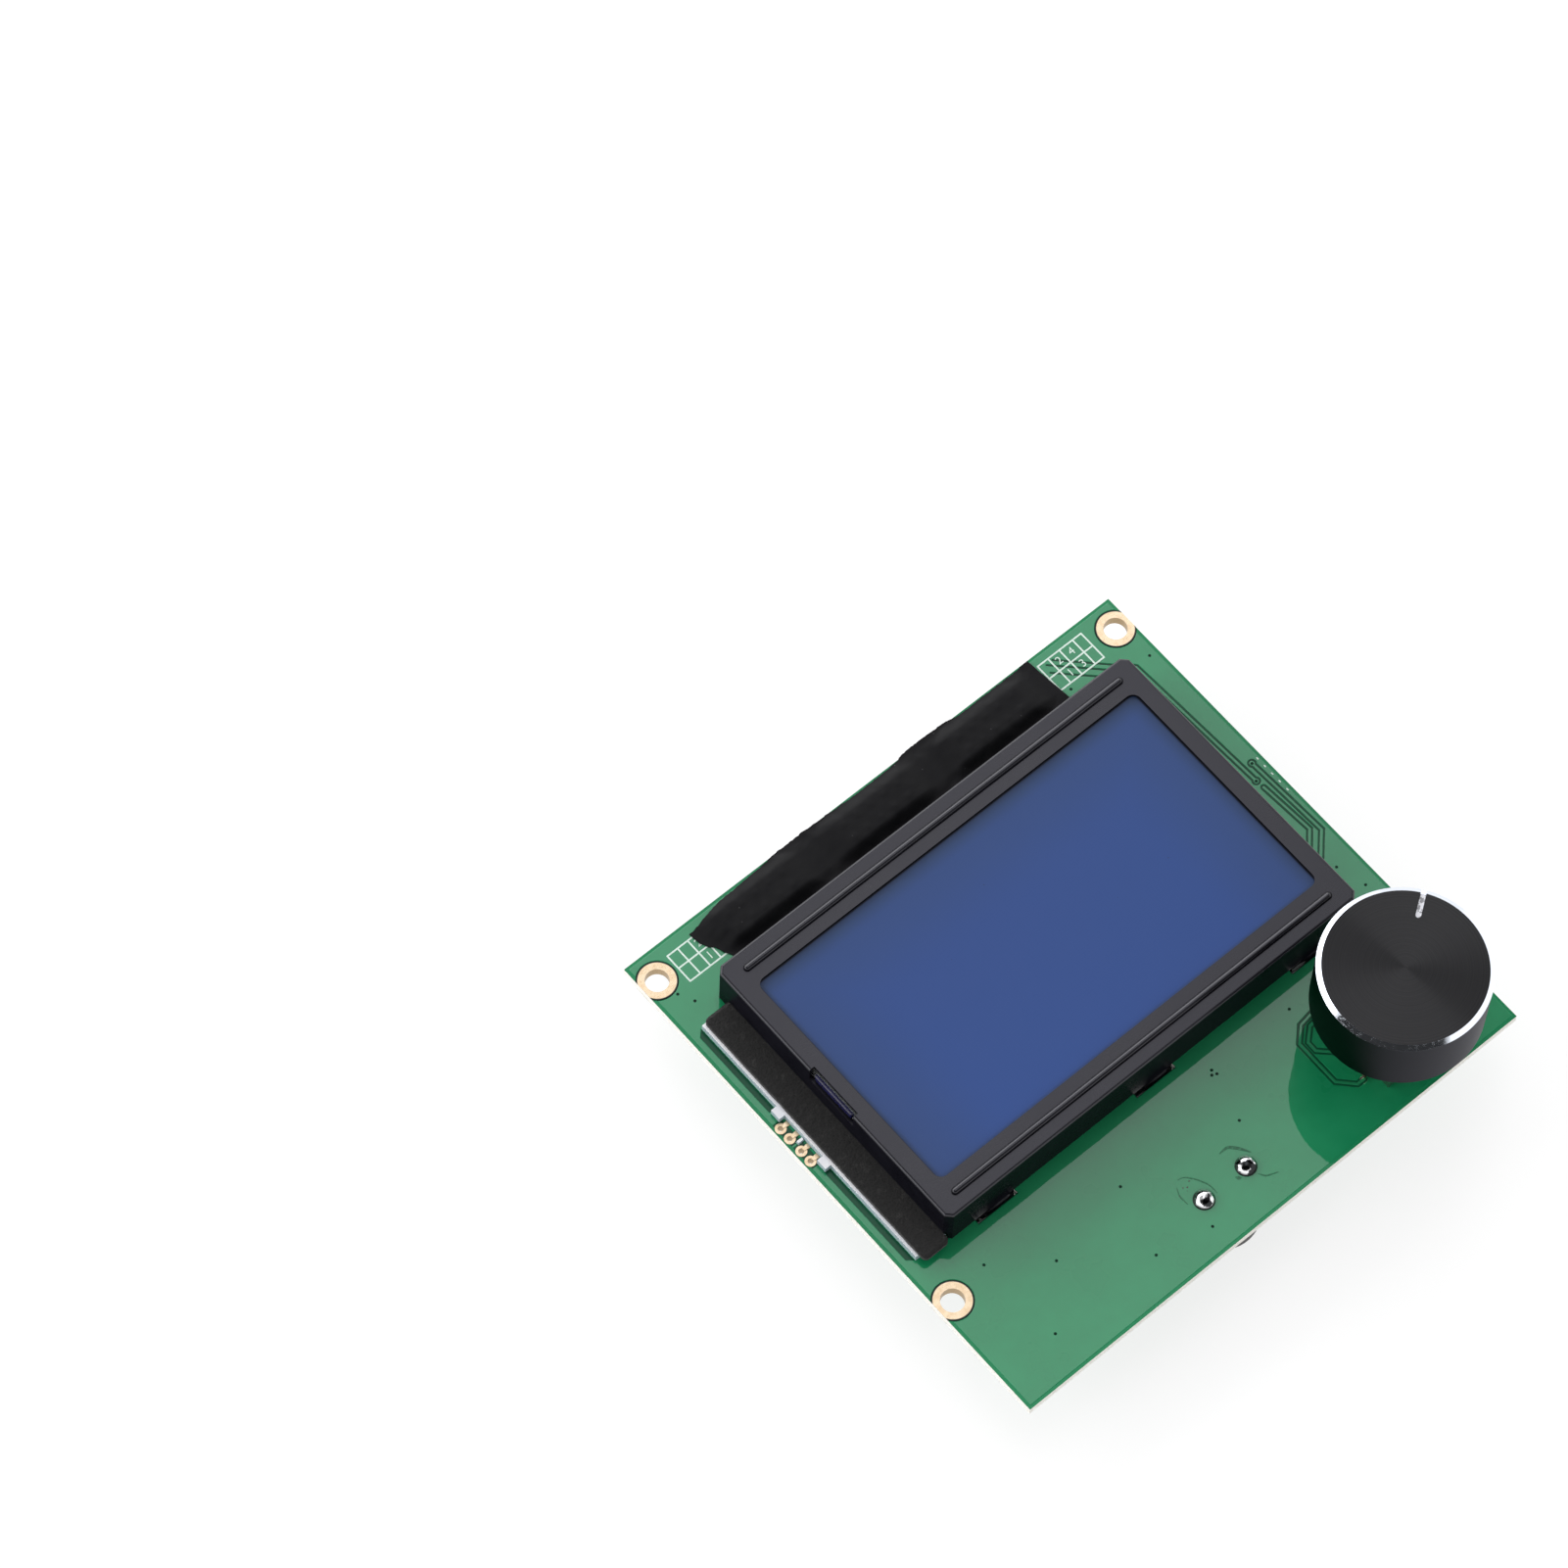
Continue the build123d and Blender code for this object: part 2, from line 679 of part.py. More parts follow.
def encoder_rotor():
    z0 = rotor_base_z()
    top = z0 + rotor_height
    radius = encoder_chamber_radius - 2 * running_clearance
    rotor = rod(encoder_x, encoder_y, z0, top, radius)
    side = shaft_key_side + 2 * running_clearance
    rotor -= slab(encoder_x, encoder_y, z0, side, side, rotor_height)
    inner = spring_inner_radius - rotor_notch_width
    notches = []
    for i in range(rotor_notches):
        place = Pos(encoder_x, encoder_y, 0) * Rot(0, 0, i * 360 / rotor_notches)
        notch = block(inner, radius, -rotor_notch_width / 2, rotor_notch_width / 2,
                      top - rotor_notch_depth, top)
        notches.append(place * notch)
    return rotor - notches


def encoder_shaft():
    collar_top = bushing_z - running_clearance
    collar_z = collar_top - shaft_collar_height
    shaft = slab(encoder_x, encoder_y, front + shaft_tip_height, shaft_key_side, shaft_key_side,
                 collar_z - front - shaft_tip_height)
    shaft += rod(encoder_x, encoder_y, collar_z, collar_top, shaft_collar_radius)
    shaft += rod(encoder_x, encoder_y, collar_top, shaft_top, shaft_radius)
    shaft = chamfer(shaft.edges().group_by(Axis.Z)[-1], encoder_sheet)
    flat_y = encoder_y + shaft_radius - shaft_flat_depth
    return shaft - block(encoder_x - shaft_radius, encoder_x + shaft_radius, flat_y,
                         encoder_y + shaft_radius, shaft_top - shaft_flat_length, shaft_top)


def switch_dome():
    z0 = front + encoder_well_floor
    sphere_radius = (dome_radius ** 2 + dome_height ** 2) / (2 * dome_height)
    centre = Pos(encoder_x, encoder_y, z0 + dome_height - sphere_radius)
    shell = centre * Sphere(sphere_radius) - centre * Sphere(sphere_radius - dome_sheet)
    return shell & rod(encoder_x, encoder_y, z0, z0 + dome_height, dome_radius)


def encoder_solder():
    joints = []
    cone_z = -rear_joint_height / 2
    for dx, dy in terminal_places:
        x, y = encoder_x + dx, encoder_y + dy
        cone = Pos(x, y, cone_z) * Cone(rear_joint_tip, rear_joint_radius, rear_joint_height)
        joint = cone + rod(x, y, 0, front, terminal_drill)
        joints.append(joint - slab(x, y, -rear_joint_height, terminal_sheet, terminal_width,
                                   front + rear_joint_height))
    for side in (-1, 1):
        y = encoder_y + side * (encoder_width + encoder_sheet) / 2
        joint = slab(encoder_x, y, -rear_joint_height, encoder_leg_width + leg_slot_clearance,
                     encoder_sheet + 2 * leg_slot_clearance, rear_joint_height)
        joint = chamfer(joint.edges().group_by(Axis.Z)[0], drill_clearance)
        joints.append(joint - slab(encoder_x, y, -rear_joint_height, encoder_leg_width, encoder_sheet,
                                   rear_joint_height))
    return group(joints)


# Knob
def d_shape(radius, flat_y, z0, z1):
    bar = rod(encoder_x, encoder_y, z0, z1, radius)
    return bar - block(encoder_x - radius, encoder_x + radius, flat_y, encoder_y + radius, z0, z1)


def knob_insert():
    web_top = knob_top_z - knob_top
    inner = knob_radius - knob_wall
    sleeve_inner = inner - knob_sleeve
    web_z = web_top - knob_web
    insert = rod(encoder_x, encoder_y, web_z, web_top, inner)
    insert += ring(encoder_x, encoder_y, knob_bottom_z + knob_sleeve_recess, web_z, inner, sleeve_inner)
    insert += rod(encoder_x, encoder_y, hub_bottom_z, web_z, knob_hub_radius)
    middle = (knob_hub_radius + sleeve_inner) / 2
    reach = sleeve_inner - knob_hub_radius + knob_sleeve
    for i in range(knob_rib_count):
        place = Pos(encoder_x, encoder_y, 0) * Rot(0, 0, i * 360 / knob_rib_count)
        insert += place * slab(middle, 0, hub_bottom_z + knob_rib, reach, knob_rib,
                               web_z - hub_bottom_z - knob_rib)
    flat_y = encoder_y + shaft_radius - shaft_flat_depth + running_clearance
    flat_z = max(shaft_top - shaft_flat_length, hub_bottom_z)
    bore = d_shape(shaft_radius + running_clearance, flat_y, flat_z, shaft_top)
    if flat_z > hub_bottom_z:
        bore += rod(encoder_x, encoder_y, hub_bottom_z, flat_z, shaft_radius + running_clearance)
    return insert - bore


def knob_shell():
    shell = rod(encoder_x, encoder_y, knob_bottom_z, knob_top_z, knob_radius)
    shell = chamfer(shell.edges().group_by(Axis.Z)[-1], knob_chamfer_height, knob_chamfer_width,
                    reference=shell.faces().filter_by(GeomType.CYLINDER)[0])
    shell -= rod(encoder_x, encoder_y, knob_bottom_z, knob_top_z - knob_top, knob_radius - knob_wall)
    slot = extrude(Pos(knob_radius, 0) * SlotOverall(2 * pointer_length, pointer_width), -pointer_depth)
    place = Pos(encoder_x, encoder_y, knob_top_z) * Rot(0, 0, pointer_angle)
    return shell - place * slot


# Chips on the rear
def driver_resin():
    caps = []
    for x, y in resin_places:
        cap = rod(x, y, -resin_height, 0, resin_radius)
        caps.append(fillet(cap.edges().group_by(Axis.Z)[0], resin_edge))
    return group(caps)


def chip_places():
    for i in range(resistor_count):
        yield "resistor", resistor_x + i * resistor_pitch, resistor_y, chip_height
    for i in range(capacitor_count):
        yield "capacitor", capacitor_x + i * capacitor_pitch, capacitor_y, capacitor_height


def chips(kind):
    return group([slab(x, y, -height, chip_width, chip_length - 2 * chip_cap, height)
                  for name, x, y, height in chip_places() if name == kind])


def chip_end_caps():
    caps = []
    for _, x, y, height in chip_places():
        for side in (-1, 1):
            cap_y = y + side * (chip_length - chip_cap) / 2
            caps.append(slab(x, cap_y, -height, chip_width, chip_cap, height))
    return group(caps)


def buzzer_transistor():
    body = slab(transistor_x, transistor_y, -transistor_height, transistor_length, transistor_width,
                transistor_height)
    return chamfer(body.edges().group_by(Axis.Z)[0], lead_width / 2)


def transistor_leads():
    places = [(-lead_pitch / 2, -1), (lead_pitch / 2, -1), (0, 1)]
    return group([slab(transistor_x + dx, transistor_y + side * (transistor_width + lead_reach) / 2,
                       -lead_height, lead_width, lead_reach, lead_height) for dx, side in places])


# Contrast trimmer on the rear
def trimmer_base():
    base = slab(trimmer_x, trimmer_y, -trimmer_height, trimmer_length, trimmer_width, trimmer_height)
    base -= rod(trimmer_x, trimmer_y, -trimmer_height, 0, trimmer_stem_radius + running_clearance)
    recess = trimmer_flange_height + 2 * running_clearance
    return base - rod(trimmer_x, trimmer_y, -recess, 0, trimmer_flange_radius + running_clearance)


def trimmer_rotor():
    flange_z = -running_clearance
    stem_z = flange_z - trimmer_flange_height
    cap_z = -trimmer_height - running_clearance
    rotor = rod(trimmer_x, trimmer_y, stem_z, flange_z, trimmer_flange_radius)
    rotor += rod(trimmer_x, trimmer_y, cap_z, stem_z, trimmer_stem_radius)
    cap_face = cap_z - trimmer_cap_height
    rotor += rod(trimmer_x, trimmer_y, cap_face, cap_z, trimmer_cap_radius)
    slot = (trimmer_slot_length, trimmer_slot_width)
    for length, width in (slot, slot[::-1]):
        rotor -= slab(trimmer_x, trimmer_y, cap_face, length, width, trimmer_slot_depth)
    return rotor


def trimmer_terminals():
    places = [(-1, -1), (-1, 1), (1, 0)]
    spacing = trimmer_width / 2 - trimmer_tab_width
    return group([slab(trimmer_x + sx * (trimmer_length + trimmer_tab_reach) / 2, trimmer_y + sy * spacing,
                       -trimmer_tab_height, trimmer_tab_reach, trimmer_tab_width, trimmer_tab_height)
                  for sx, sy in places])


parts = {
    "circuit_board": circuit_board(),
    "mounting_hole_plating": mounting_hole_plating(),
    "backlight_pads": backlight_pads(),
    "backlight_tray": backlight_tray(),
    "reflector_sheet": reflector_sheet(),
    "lamp_strip": lamp_strip(),
    "backlight_lamps": backlight_lamps(),
    "light_guide": light_guide(),
    "diffuser_sheet": diffuser_sheet(),
    "rear_polarizer": polarizer(rear_polarizer_z),
    "rear_glass": rear_glass(),
    "front_glass": front_glass(),
    "front_polarizer": polarizer(front_polarizer_z),
    "filling_port_seal": filling_port_seal(),
    "contact_strip_upper": contact_strip(1),
    "contact_strip_lower": contact_strip(-1),
    "foam_pad": foam_pad(),
    "bezel_frame": bezel_frame(),
    "header_solder": header_solder(),
    "insulating_tape": insulating_tape(),
    "buzzer_case": buzzer_case(),
    "buzzer_base": buzzer_base(),
    "buzzer_magnet": buzzer_magnet(),
    "buzzer_coil": buzzer_coil(),
    "buzzer_pole": buzzer_pole(),
    "buzzer_diaphragm": buzzer_diaphragm(),
    "buzzer_pins": buzzer_pin_set(),
    "buzzer_solder": buzzer_solder(),
    "encoder_base": encoder_base(),
    "encoder_terminals": encoder_terminals(),
    "encoder_frame": encoder_frame(),
    "encoder_bushing": encoder_bushing(),
    "detent_spring": detent_spring(),
    "encoder_rotor": encoder_rotor(),
    "encoder_shaft": encoder_shaft(),
    "switch_dome": switch_dome(),
    "encoder_solder": encoder_solder(),
    "knob_insert": knob_insert(),
    "knob_shell": knob_shell(),
    "driver_resin": driver_resin(),
    "chip_resistors": chips("resistor"),
    "chip_capacitors": chips("capacitor"),
    "chip_end_caps": chip_end_caps(),
    "buzzer_transistor": buzzer_transistor(),
    "transistor_leads": transistor_leads(),
    "trimmer_base": trimmer_base(),
    "trimmer_rotor": trimmer_rotor(),
    "trimmer_terminals": trimmer_terminals(),
}
for number, x in enumerate(header_places, 1):
    parts[f"header_shroud_{number}"] = header_shroud(x)
    parts[f"header_pins_{number}"] = header_pin_set(x)

os.makedirs("parts", exist_ok=True)
for name, shape in parts.items():
    export_step(shape, f"parts/{name}.step")
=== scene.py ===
import random
from math import acos, asin, atan2, cos, exp, pi, radians, sin, sqrt

import bmesh
import bpy
from mathutils import Matrix, Vector, noise
from mathutils.geometry import delaunay_2d_cdt


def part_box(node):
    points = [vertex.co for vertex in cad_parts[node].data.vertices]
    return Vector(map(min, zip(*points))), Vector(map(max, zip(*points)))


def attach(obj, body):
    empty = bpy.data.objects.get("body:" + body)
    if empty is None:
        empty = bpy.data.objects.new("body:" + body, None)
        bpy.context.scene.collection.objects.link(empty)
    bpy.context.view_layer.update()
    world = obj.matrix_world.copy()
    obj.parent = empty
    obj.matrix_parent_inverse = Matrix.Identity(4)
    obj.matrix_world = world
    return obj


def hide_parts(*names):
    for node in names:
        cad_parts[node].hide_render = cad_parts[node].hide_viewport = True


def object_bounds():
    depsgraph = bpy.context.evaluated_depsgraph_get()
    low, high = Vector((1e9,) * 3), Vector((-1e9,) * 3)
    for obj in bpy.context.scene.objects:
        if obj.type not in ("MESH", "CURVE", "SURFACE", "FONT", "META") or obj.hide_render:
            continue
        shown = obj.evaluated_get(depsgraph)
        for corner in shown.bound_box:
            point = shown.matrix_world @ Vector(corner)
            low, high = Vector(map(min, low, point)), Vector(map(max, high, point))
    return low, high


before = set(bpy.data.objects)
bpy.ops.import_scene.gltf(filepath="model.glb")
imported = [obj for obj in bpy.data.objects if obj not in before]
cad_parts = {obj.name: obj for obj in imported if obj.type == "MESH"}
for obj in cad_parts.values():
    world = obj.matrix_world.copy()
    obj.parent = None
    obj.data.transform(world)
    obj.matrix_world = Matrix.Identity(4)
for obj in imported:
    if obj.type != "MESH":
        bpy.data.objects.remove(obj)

# Looks of a graphic display control board: its finishes, the copper and print on both faces of
# the board, the tape and the foam. Lengths are in millimetres until a mesh or a shader takes them.
MM = 0.001
CAD_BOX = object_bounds()
BOARD_BODY = "control_board"


def box_mm(node):
    low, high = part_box(node)
    return low / MM, high / MM


board_low, board_high = box_mm("circuit_board")
bezel_low, bezel_high = box_mm("bezel_frame")
foam_low, foam_high = box_mm("foam_pad")
tape_low, tape_high = box_mm("insulating_tape")
knob_low, knob_high = box_mm("knob_shell")
pads_low, pads_high = box_mm("backlight_pads")
header_boxes = [box_mm(f"header_shroud_{i}") for i in (1, 2, 3)]
header_centres = [(low + high) / 2 for low, high in header_boxes]
bezel_middle = (bezel_low + bezel_high) / 2
knob_axis = (knob_low + knob_high) / 2
front = board_high.z

# Sizes of the board and its coverings
pin_pitch = 2.54
hole_x, hole_y = 44, 32.1
pad_radius, pad_clearance, hole_clearance = 2.84, 3.1, 3.14
copper_inset = 0.45
window_low = Vector((bezel_low.x + 3, bezel_low.y + 5.4, 0))
window_high = Vector((bezel_high.x - 3, bezel_high.y - 5.4, 0))
bead_offset, bead_reach, bead_half, bead_height = 22.4, 36, 0.6, 0.35
resistor_x = [-34 + 4 * i for i in range(8)]
capacitor_x = [-19.7 + 4.4 * i for i in range(10)]

# Light and colour levels
band_level = 1.2
ceiling_level = 0.42
dark_level = 0.03
side_light_level = 2.2
side_light_heading = 108
softbox_radiance = 1.5
softbox_sizes = (0.31, 1.15)
softbox_distance = 1.1
floor_size = 6
floor_glow = 1.22
floor_glow_share = 0.62
pad_gap_green = (0.006, 0.018, 0.011)


# Numbers and colours
def rgb(red, green, blue):
    """Screen colour from 0 to 255 as scene-linear values."""
    parts = []
    for value in (red, green, blue):
        share = value / 255
        parts.append(share / 12.92 if share <= 0.04045 else ((share + 0.055) / 1.055) ** 2.4)
    return parts


def smooth(low, high, value):
    t = min(1, max(0, (value - low) / (high - low)))
    return t * t * (3 - 2 * t)


def rough(x, y, z=0):
    return noise.noise(Vector((x, y, z)))


# Shader nodes
class Value:
    """A value in a node tree. Its operators and calls add the nodes that they need."""

    def __init__(self, wires, socket):
        self.wires, self.socket = wires, socket

    def __add__(self, other):
        return self.wires.math("ADD", self, other)

    def __sub__(self, other):
        return self.wires.math("SUBTRACT", self, other)

    def __rsub__(self, other):
        return self.wires.math("SUBTRACT", other, self)

    def __mul__(self, other):
        return self.wires.math("MULTIPLY", self, other)

    def __truediv__(self, other):
        return self.wires.math("DIVIDE", self, other)

    def __abs__(self):
        return self.wires.math("ABSOLUTE", self)

    def span(self, low, high, out_low=0, out_high=1, curve="SMOOTHSTEP"):
        return self.wires.value("MapRange", self, low, high, out_low, out_high, interpolation_type=curve)

    def over(self, low, high, *out):
        """The same with low and high in millimetres."""
        return self.span(low * MM, high * MM, *out)

    def near(self, start, stop, least=0):
        """1 up to start, falling to least at stop."""
        return self.span(start, stop, 1, least)

    def gloss(self, least, most):
        return self.span(0.3, 0.7, least, most)

    def mix(self, first, second):
        """The first colour at 0 and the second at 1."""
        return self.wires.value("Mix", self, *[None] * 5, first, second, out=2, data_type="RGBA")

    def patches(self, dark, light):
        return self.span(0.35, 0.65).mix(dark, light)

    def waves(self, length):
        return self.wires.math("SINE", self * (2 * pi / (length * MM)))

    def bump(self, depth, under=None):
        made = self.wires.node("Bump", 1, depth * MM)
        self.wires.feed(self, made.inputs["Height"])
        self.wires.feed(under, made.inputs["Normal"])
        return Value(self.wires, made.outputs[0])


class Wires:
    """A node tree with short calls for its nodes. Inputs go in order, and None leaves one as it is."""

    def __init__(self, tree):
        self.tree = tree

    def feed(self, value, socket):
        if isinstance(value, Value):
            self.tree.links.new(value.socket, socket)
        elif value is not None:
            opaque = socket.type == "RGBA" and len(value) == 3
            socket.default_value = (*value, 1) if opaque else value

    def node(self, kind, *values, **settings):
        made = self.tree.nodes.new("ShaderNode" + kind)
        for name, value in settings.items():
            setattr(made, name, value)
        for socket, value in zip(made.inputs, values):
            self.feed(value, socket)
        return made

    def value(self, kind, *values, out=0, **settings):
        return Value(self, self.node(kind, *values, **settings).outputs[out])

    def math(self, operation, *values):
        return self.value("Math", *values, operation=operation)

    def length(self, x, y):
        return self.math("SQRT", x * x + y * y)


class Finish(Wires):
    """A material with short calls for what its shader needs. Sizes are in millimetres on the object."""

    def __init__(self, name, **constants):
        self.material = bpy.data.materials.new(name)
        self.material.use_nodes = True
        super().__init__(self.material.node_tree)
        self.set(**constants)
        self.place = self.value("TexCoord", out="Object")

    def set(self, **sockets):
        shader = self.tree.nodes["Principled BSDF"]
        for socket, value in sockets.items():
            self.feed(value, shader.inputs[socket.replace("_", " ")])

    def use(self, colour, roughness, normal=None, **others):
        self.set(Base_Color=colour, Roughness=roughness, Normal=normal, **others)
        return self.material

    def axis(self, letter, place=None):
        return self.value("SeparateXYZ", place or self.place, out=letter)

    def up(self):
        """How far the surface faces up, from -1 to 1."""
        return self.axis("Z", self.value("TexCoord", out="Normal"))

    def stretch(self, scale, turn=0):
        return self.value("Mapping", self.place, (0, 0, 0), (0, 0, turn), scale)

    def noise(self, size, detail=2, roughness=0.5, place=None, distortion=0):
        return self.value("TexNoise", place or self.place, None, 1 / (size * MM), detail, roughness,
                          None, None, None, distortion)

    def cells(self, size):
        return self.value("TexVoronoi", self.place, None, 1 / (size * MM), out="Distance")


# Finishes
def grained(name, light, dark, grain, roughness, spread, depth, constants=None):
    """A finish whose colour, gloss and relief all vary at the size of its grain."""
    finish = Finish(name, **(constants or {}))
    broad, fine = finish.noise(grain * 6, 3, 0.6), finish.noise(grain)
    return finish.use((broad * 0.6 + fine * 0.4).patches(dark, light),
                      fine.gloss(roughness - spread, roughness + spread), fine.bump(depth))


def mask_relief(finish):
    """Slow uneven waves and the faint print of the glass weave in a solder mask."""
    swell = finish.noise(3.6).bump(0.009, finish.noise(14, 1).bump(0.03))
    weave = finish.axis("X").waves(0.85) * finish.axis("Y").waves(0.85)
    return (weave + finish.noise(0.5)).bump(0.00012, swell)


def solder_mask(name, light, dark, metallic):
    """Green mask over copper, with a thinner coat where it slopes."""
    finish = Finish(name, Metallic=metallic, IOR=1.5, Specular_IOR_Level=0.1, Coat_Roughness=0.012,
                    Coat_IOR=1.5)
    cloud = finish.noise(9, 3, 0.6)
    speck = finish.cells(1.9).near(0.03, 0.07)
    colour = (speck * 0.25).mix(cloud.patches(dark, light), dark)
    relief = mask_relief(finish)
    coat = abs(finish.up()).span(0.8316, 0.9702, 0.35, 1)
    return finish.use(colour, cloud.gloss(0.26, 0.36), relief, Coat_Weight=coat, Coat_Normal=relief)


def board_laminate():
    """Bare mask on the two faces, and cut glass laminate with its layers on every edge and hole."""
    finish = Finish("board_laminate", IOR=1.5, Specular_IOR_Level=0.1, Coat_Roughness=0.03, Coat_IOR=1.5)
    face = abs(finish.up()).span(0.5, 0.6)
    mask = finish.noise(7, 3).patches((0.002, 0.058, 0.026), (0.004, 0.076, 0.034))
    mask = board_border(finish).mix(mask, (0.012, 0.225, 0.088))
    bare = pad_gap(finish, pad_clearance)
    mask = bare.mix(mask, pad_gap_green)
    fibre = finish.noise(0.35, 3, 0.7, finish.stretch((0.25, 0.25, 2.5)))
    cut = (finish.axis("Z").waves(0.2) + fibre * 2).span(0.2, 1.8).mix(rgb(236, 233, 224), rgb(251, 249, 244))
    lacquered = face * (1 - bare)
    return finish.use(face.mix(cut, mask), lacquered.span(0, 1, 0.8, 0.3),
                      (fibre * (1 - face)).bump(0.03), Coat_Weight=lacquered * 0.25,
                      Coat_Normal=mask_relief(finish))


def board_border(finish):
    """1 on the strip without copper along the board's edges, otherwise 0."""
    middle = (board_low + board_high) / 2
    marks = []
    for i, letter in enumerate("XY"):
        away = abs(finish.axis(letter) - middle[i] * MM)
        copper_end = board_high[i] - middle[i] - copper_inset - 0.05
        marks.append(finish.math("GREATER_THAN", away, copper_end * MM))
    return finish.math("MAXIMUM", *marks)


def pad_gap(finish, radius):
    """1 nearer than that radius to a mounting hole's middle, otherwise 0."""
    x, y = (abs(finish.axis(letter)) - place * MM for letter, place in (("X", hole_x), ("Y", hole_y)))
    return finish.length(x, y).near((radius - 0.02) * MM, (radius + 0.02) * MM)


def bead_crown(finish):
    """1 along the middle of the two pressed beads, falling to 0 at their sides as a round back does."""
    across = abs(finish.axis("Y") - bezel_middle.y * MM) - bead_offset * MM
    beyond = abs(finish.axis("X") - bezel_middle.x * MM) - (bead_reach - bead_half) * MM
    beyond = finish.math("MAXIMUM", beyond, 0)
    square = across * across + beyond * beyond
    return finish.math("MAXIMUM", 1 - square / (bead_half * MM) ** 2, 0)


def bezel_paint():
    finish = Finish("bezel_paint", IOR=1.5, Specular_Tint=(0.92, 0.92, 1))
    fine, broad = finish.noise(0.22, 3, 0.6), finish.noise(11, 3, 0.55)
    scratch = finish.noise(0.5, 2, 0.6, finish.stretch((1, 14, 1), 0.6))
    dust = finish.cells(3.1).near(0.012, 0.03)
    colour = broad.patches((0.004, 0.004, 0.0065), (0.007, 0.0068, 0.0105))
    colour = (dust * 0.3).mix(colour, rgb(110, 108, 114))
    crown = bead_crown(finish)
    gloss = broad.gloss(0.25, 0.3) + scratch.gloss(0, 0.04)
    return finish.use(colour, gloss * crown.near(0, 0.05, 0.6), crown.bump(bead_height, fine.bump(0.003)),
                      Specular_IOR_Level=finish.up().span(0.05, 0.5, 0.03, 0.58))


def display_film():
    """Blue polarizer, darker where the bezel shades the layers under it."""
    finish = Finish("display_film", IOR=1.5, Specular_IOR_Level=0.3)
    x, y = finish.axis("X"), finish.axis("Y")
    to_top, to_right = window_high.y * MM - y, window_high.x * MM - x
    to_left, to_bottom = x - window_low.x * MM, y - window_low.y * MM
    shade = to_top.over(0.2, 3.4, 0.35, 1)
    for distance, reach in ((to_right, 3), (to_left, 1), (to_bottom, 0.7)):
        shade = shade * distance.over(0.1, reach, 0.5, 1)
    rise = y.span(window_low.y * MM, window_high.y * MM, curve="LINEAR")
    blue = rise.mix((0.0225, 0.066, 0.248), (0.0235, 0.062, 0.222))
    nearest = finish.math("MINIMUM", finish.math("MINIMUM", to_top, to_right), to_left)
    blue = nearest.over(1, 15).mix((0.0245, 0.06, 0.192), blue)
    colour = shade.mix((0.016, 0.036, 0.078), blue)
    # A thin near-black line along the window's top, right and left edges: painted shadow of the bezel's
    # window edge.
    window_edge_shadow = nearest.near(0.12 * MM, 0.34 * MM)
    colour = window_edge_shadow.mix(colour, (0.005, 0.008, 0.018))
    dots = [abs(finish.axis(letter).waves(1.04)).span(0, 0.35) for letter in "XY"]
    colour = (dots[0] * dots[1]).span(0, 1, 0.03, 0).mix(colour, (0, 0.01, 0.05))
    speck = finish.cells(6.3).span(0.008, 0.02, 0.6, 0)
    return finish.use(speck.mix(colour, rgb(40, 44, 60)), finish.noise(5, 3, 0.6).gloss(0.375, 0.4),
                      finish.noise(0.12).bump(0.0015))


def knob_metal():
    """Black turned aluminium: fine rings on top, bare metal on the chamfer and in the pointer slot."""
    finish = Finish("knob_metal", Metallic=1, Anisotropic=1, Anisotropic_Rotation=0,
                    Specular_Tint=(0.7, 0.7, 0.73))
    shift = (-knob_axis.x * MM, -knob_axis.y * MM, 0)
    flat = finish.value("VectorMath", finish.place, shift, operation="ADD")
    distance = finish.length(finish.axis("X", flat), finish.axis("Y", flat))
    below_top = knob_high.z * MM - finish.axis("Z")
    cut = below_top.over(0.012, 0.03) * below_top.near(0.49 * MM, 0.51 * MM)
    top = below_top.near(0, 0.012 * MM)
    uneven = finish.noise(0.2, 3, 0.7, finish.value("CombineXYZ", distance))
    lines = distance.waves(0.16) * 0.4 + uneven
    black = uneven.gloss(0, 1).mix((0.048, 0.048, 0.05), (0.06, 0.06, 0.063))
    side = finish.noise(2).mix((0.0065, 0.0065, 0.0075), (0.0095, 0.0095, 0.011))
    milled = below_top.over(0.38, 0.42) * distance.near(11.7 * MM, 11.9 * MM)
    fleck = finish.noise(0.45).span(0.4, 0.5).mix((0.34, 0.34, 0.35), (0.85, 0.85, 0.87))
    bright = milled.mix((0.86, 0.91, 1), fleck)
    marks = finish.noise(0.6, 2, 0.6).span(0.42, 0.72, 0.05, 0.13)
    cut_gloss = milled.mix(marks, (0.3,) * 4)
    gloss = cut.mix(top.mix((0.36,) * 4, (0.5,) * 4), cut_gloss)
    return finish.use(cut.mix(top.mix(side, black), bright), gloss, (lines * top).bump(0.0004),
                      Tangent=finish.value("Tangent", direction_type="RADIAL", axis="Z"))


def solder():
    finish = Finish("solder", Metallic=1)
    broad, fine = finish.noise(1.1), finish.noise(0.25, 3)
    return finish.use(broad.patches((0.72, 0.72, 0.75), (0.86, 0.86, 0.88)),
                      fine.gloss(0.07, 0.16), broad.bump(0.05))


def buzzer_joint():
    """Solder painted near black on its sides and foot, a painted dark reflection, with mirror-bright patches
    on its crown.
    """
    finish = Finish("buzzer_joint", Metallic=1)
    broad, fine = finish.noise(1.3, distortion=0.4), finish.noise(0.25, 3)
    # The mask is 1 where the crown shows bright tin; elsewhere the solder is painted near black, a painted
    # dark reflection.
    painted_reflection_mask = finish.up().span(0.45, 0.72) * broad.span(0.42, 0.52)
    return finish.use(painted_reflection_mask.mix((0.035, 0.036, 0.038), (0.9, 0.9, 0.92)),
                      fine.gloss(0.1, 0.22), broad.bump(0.12))


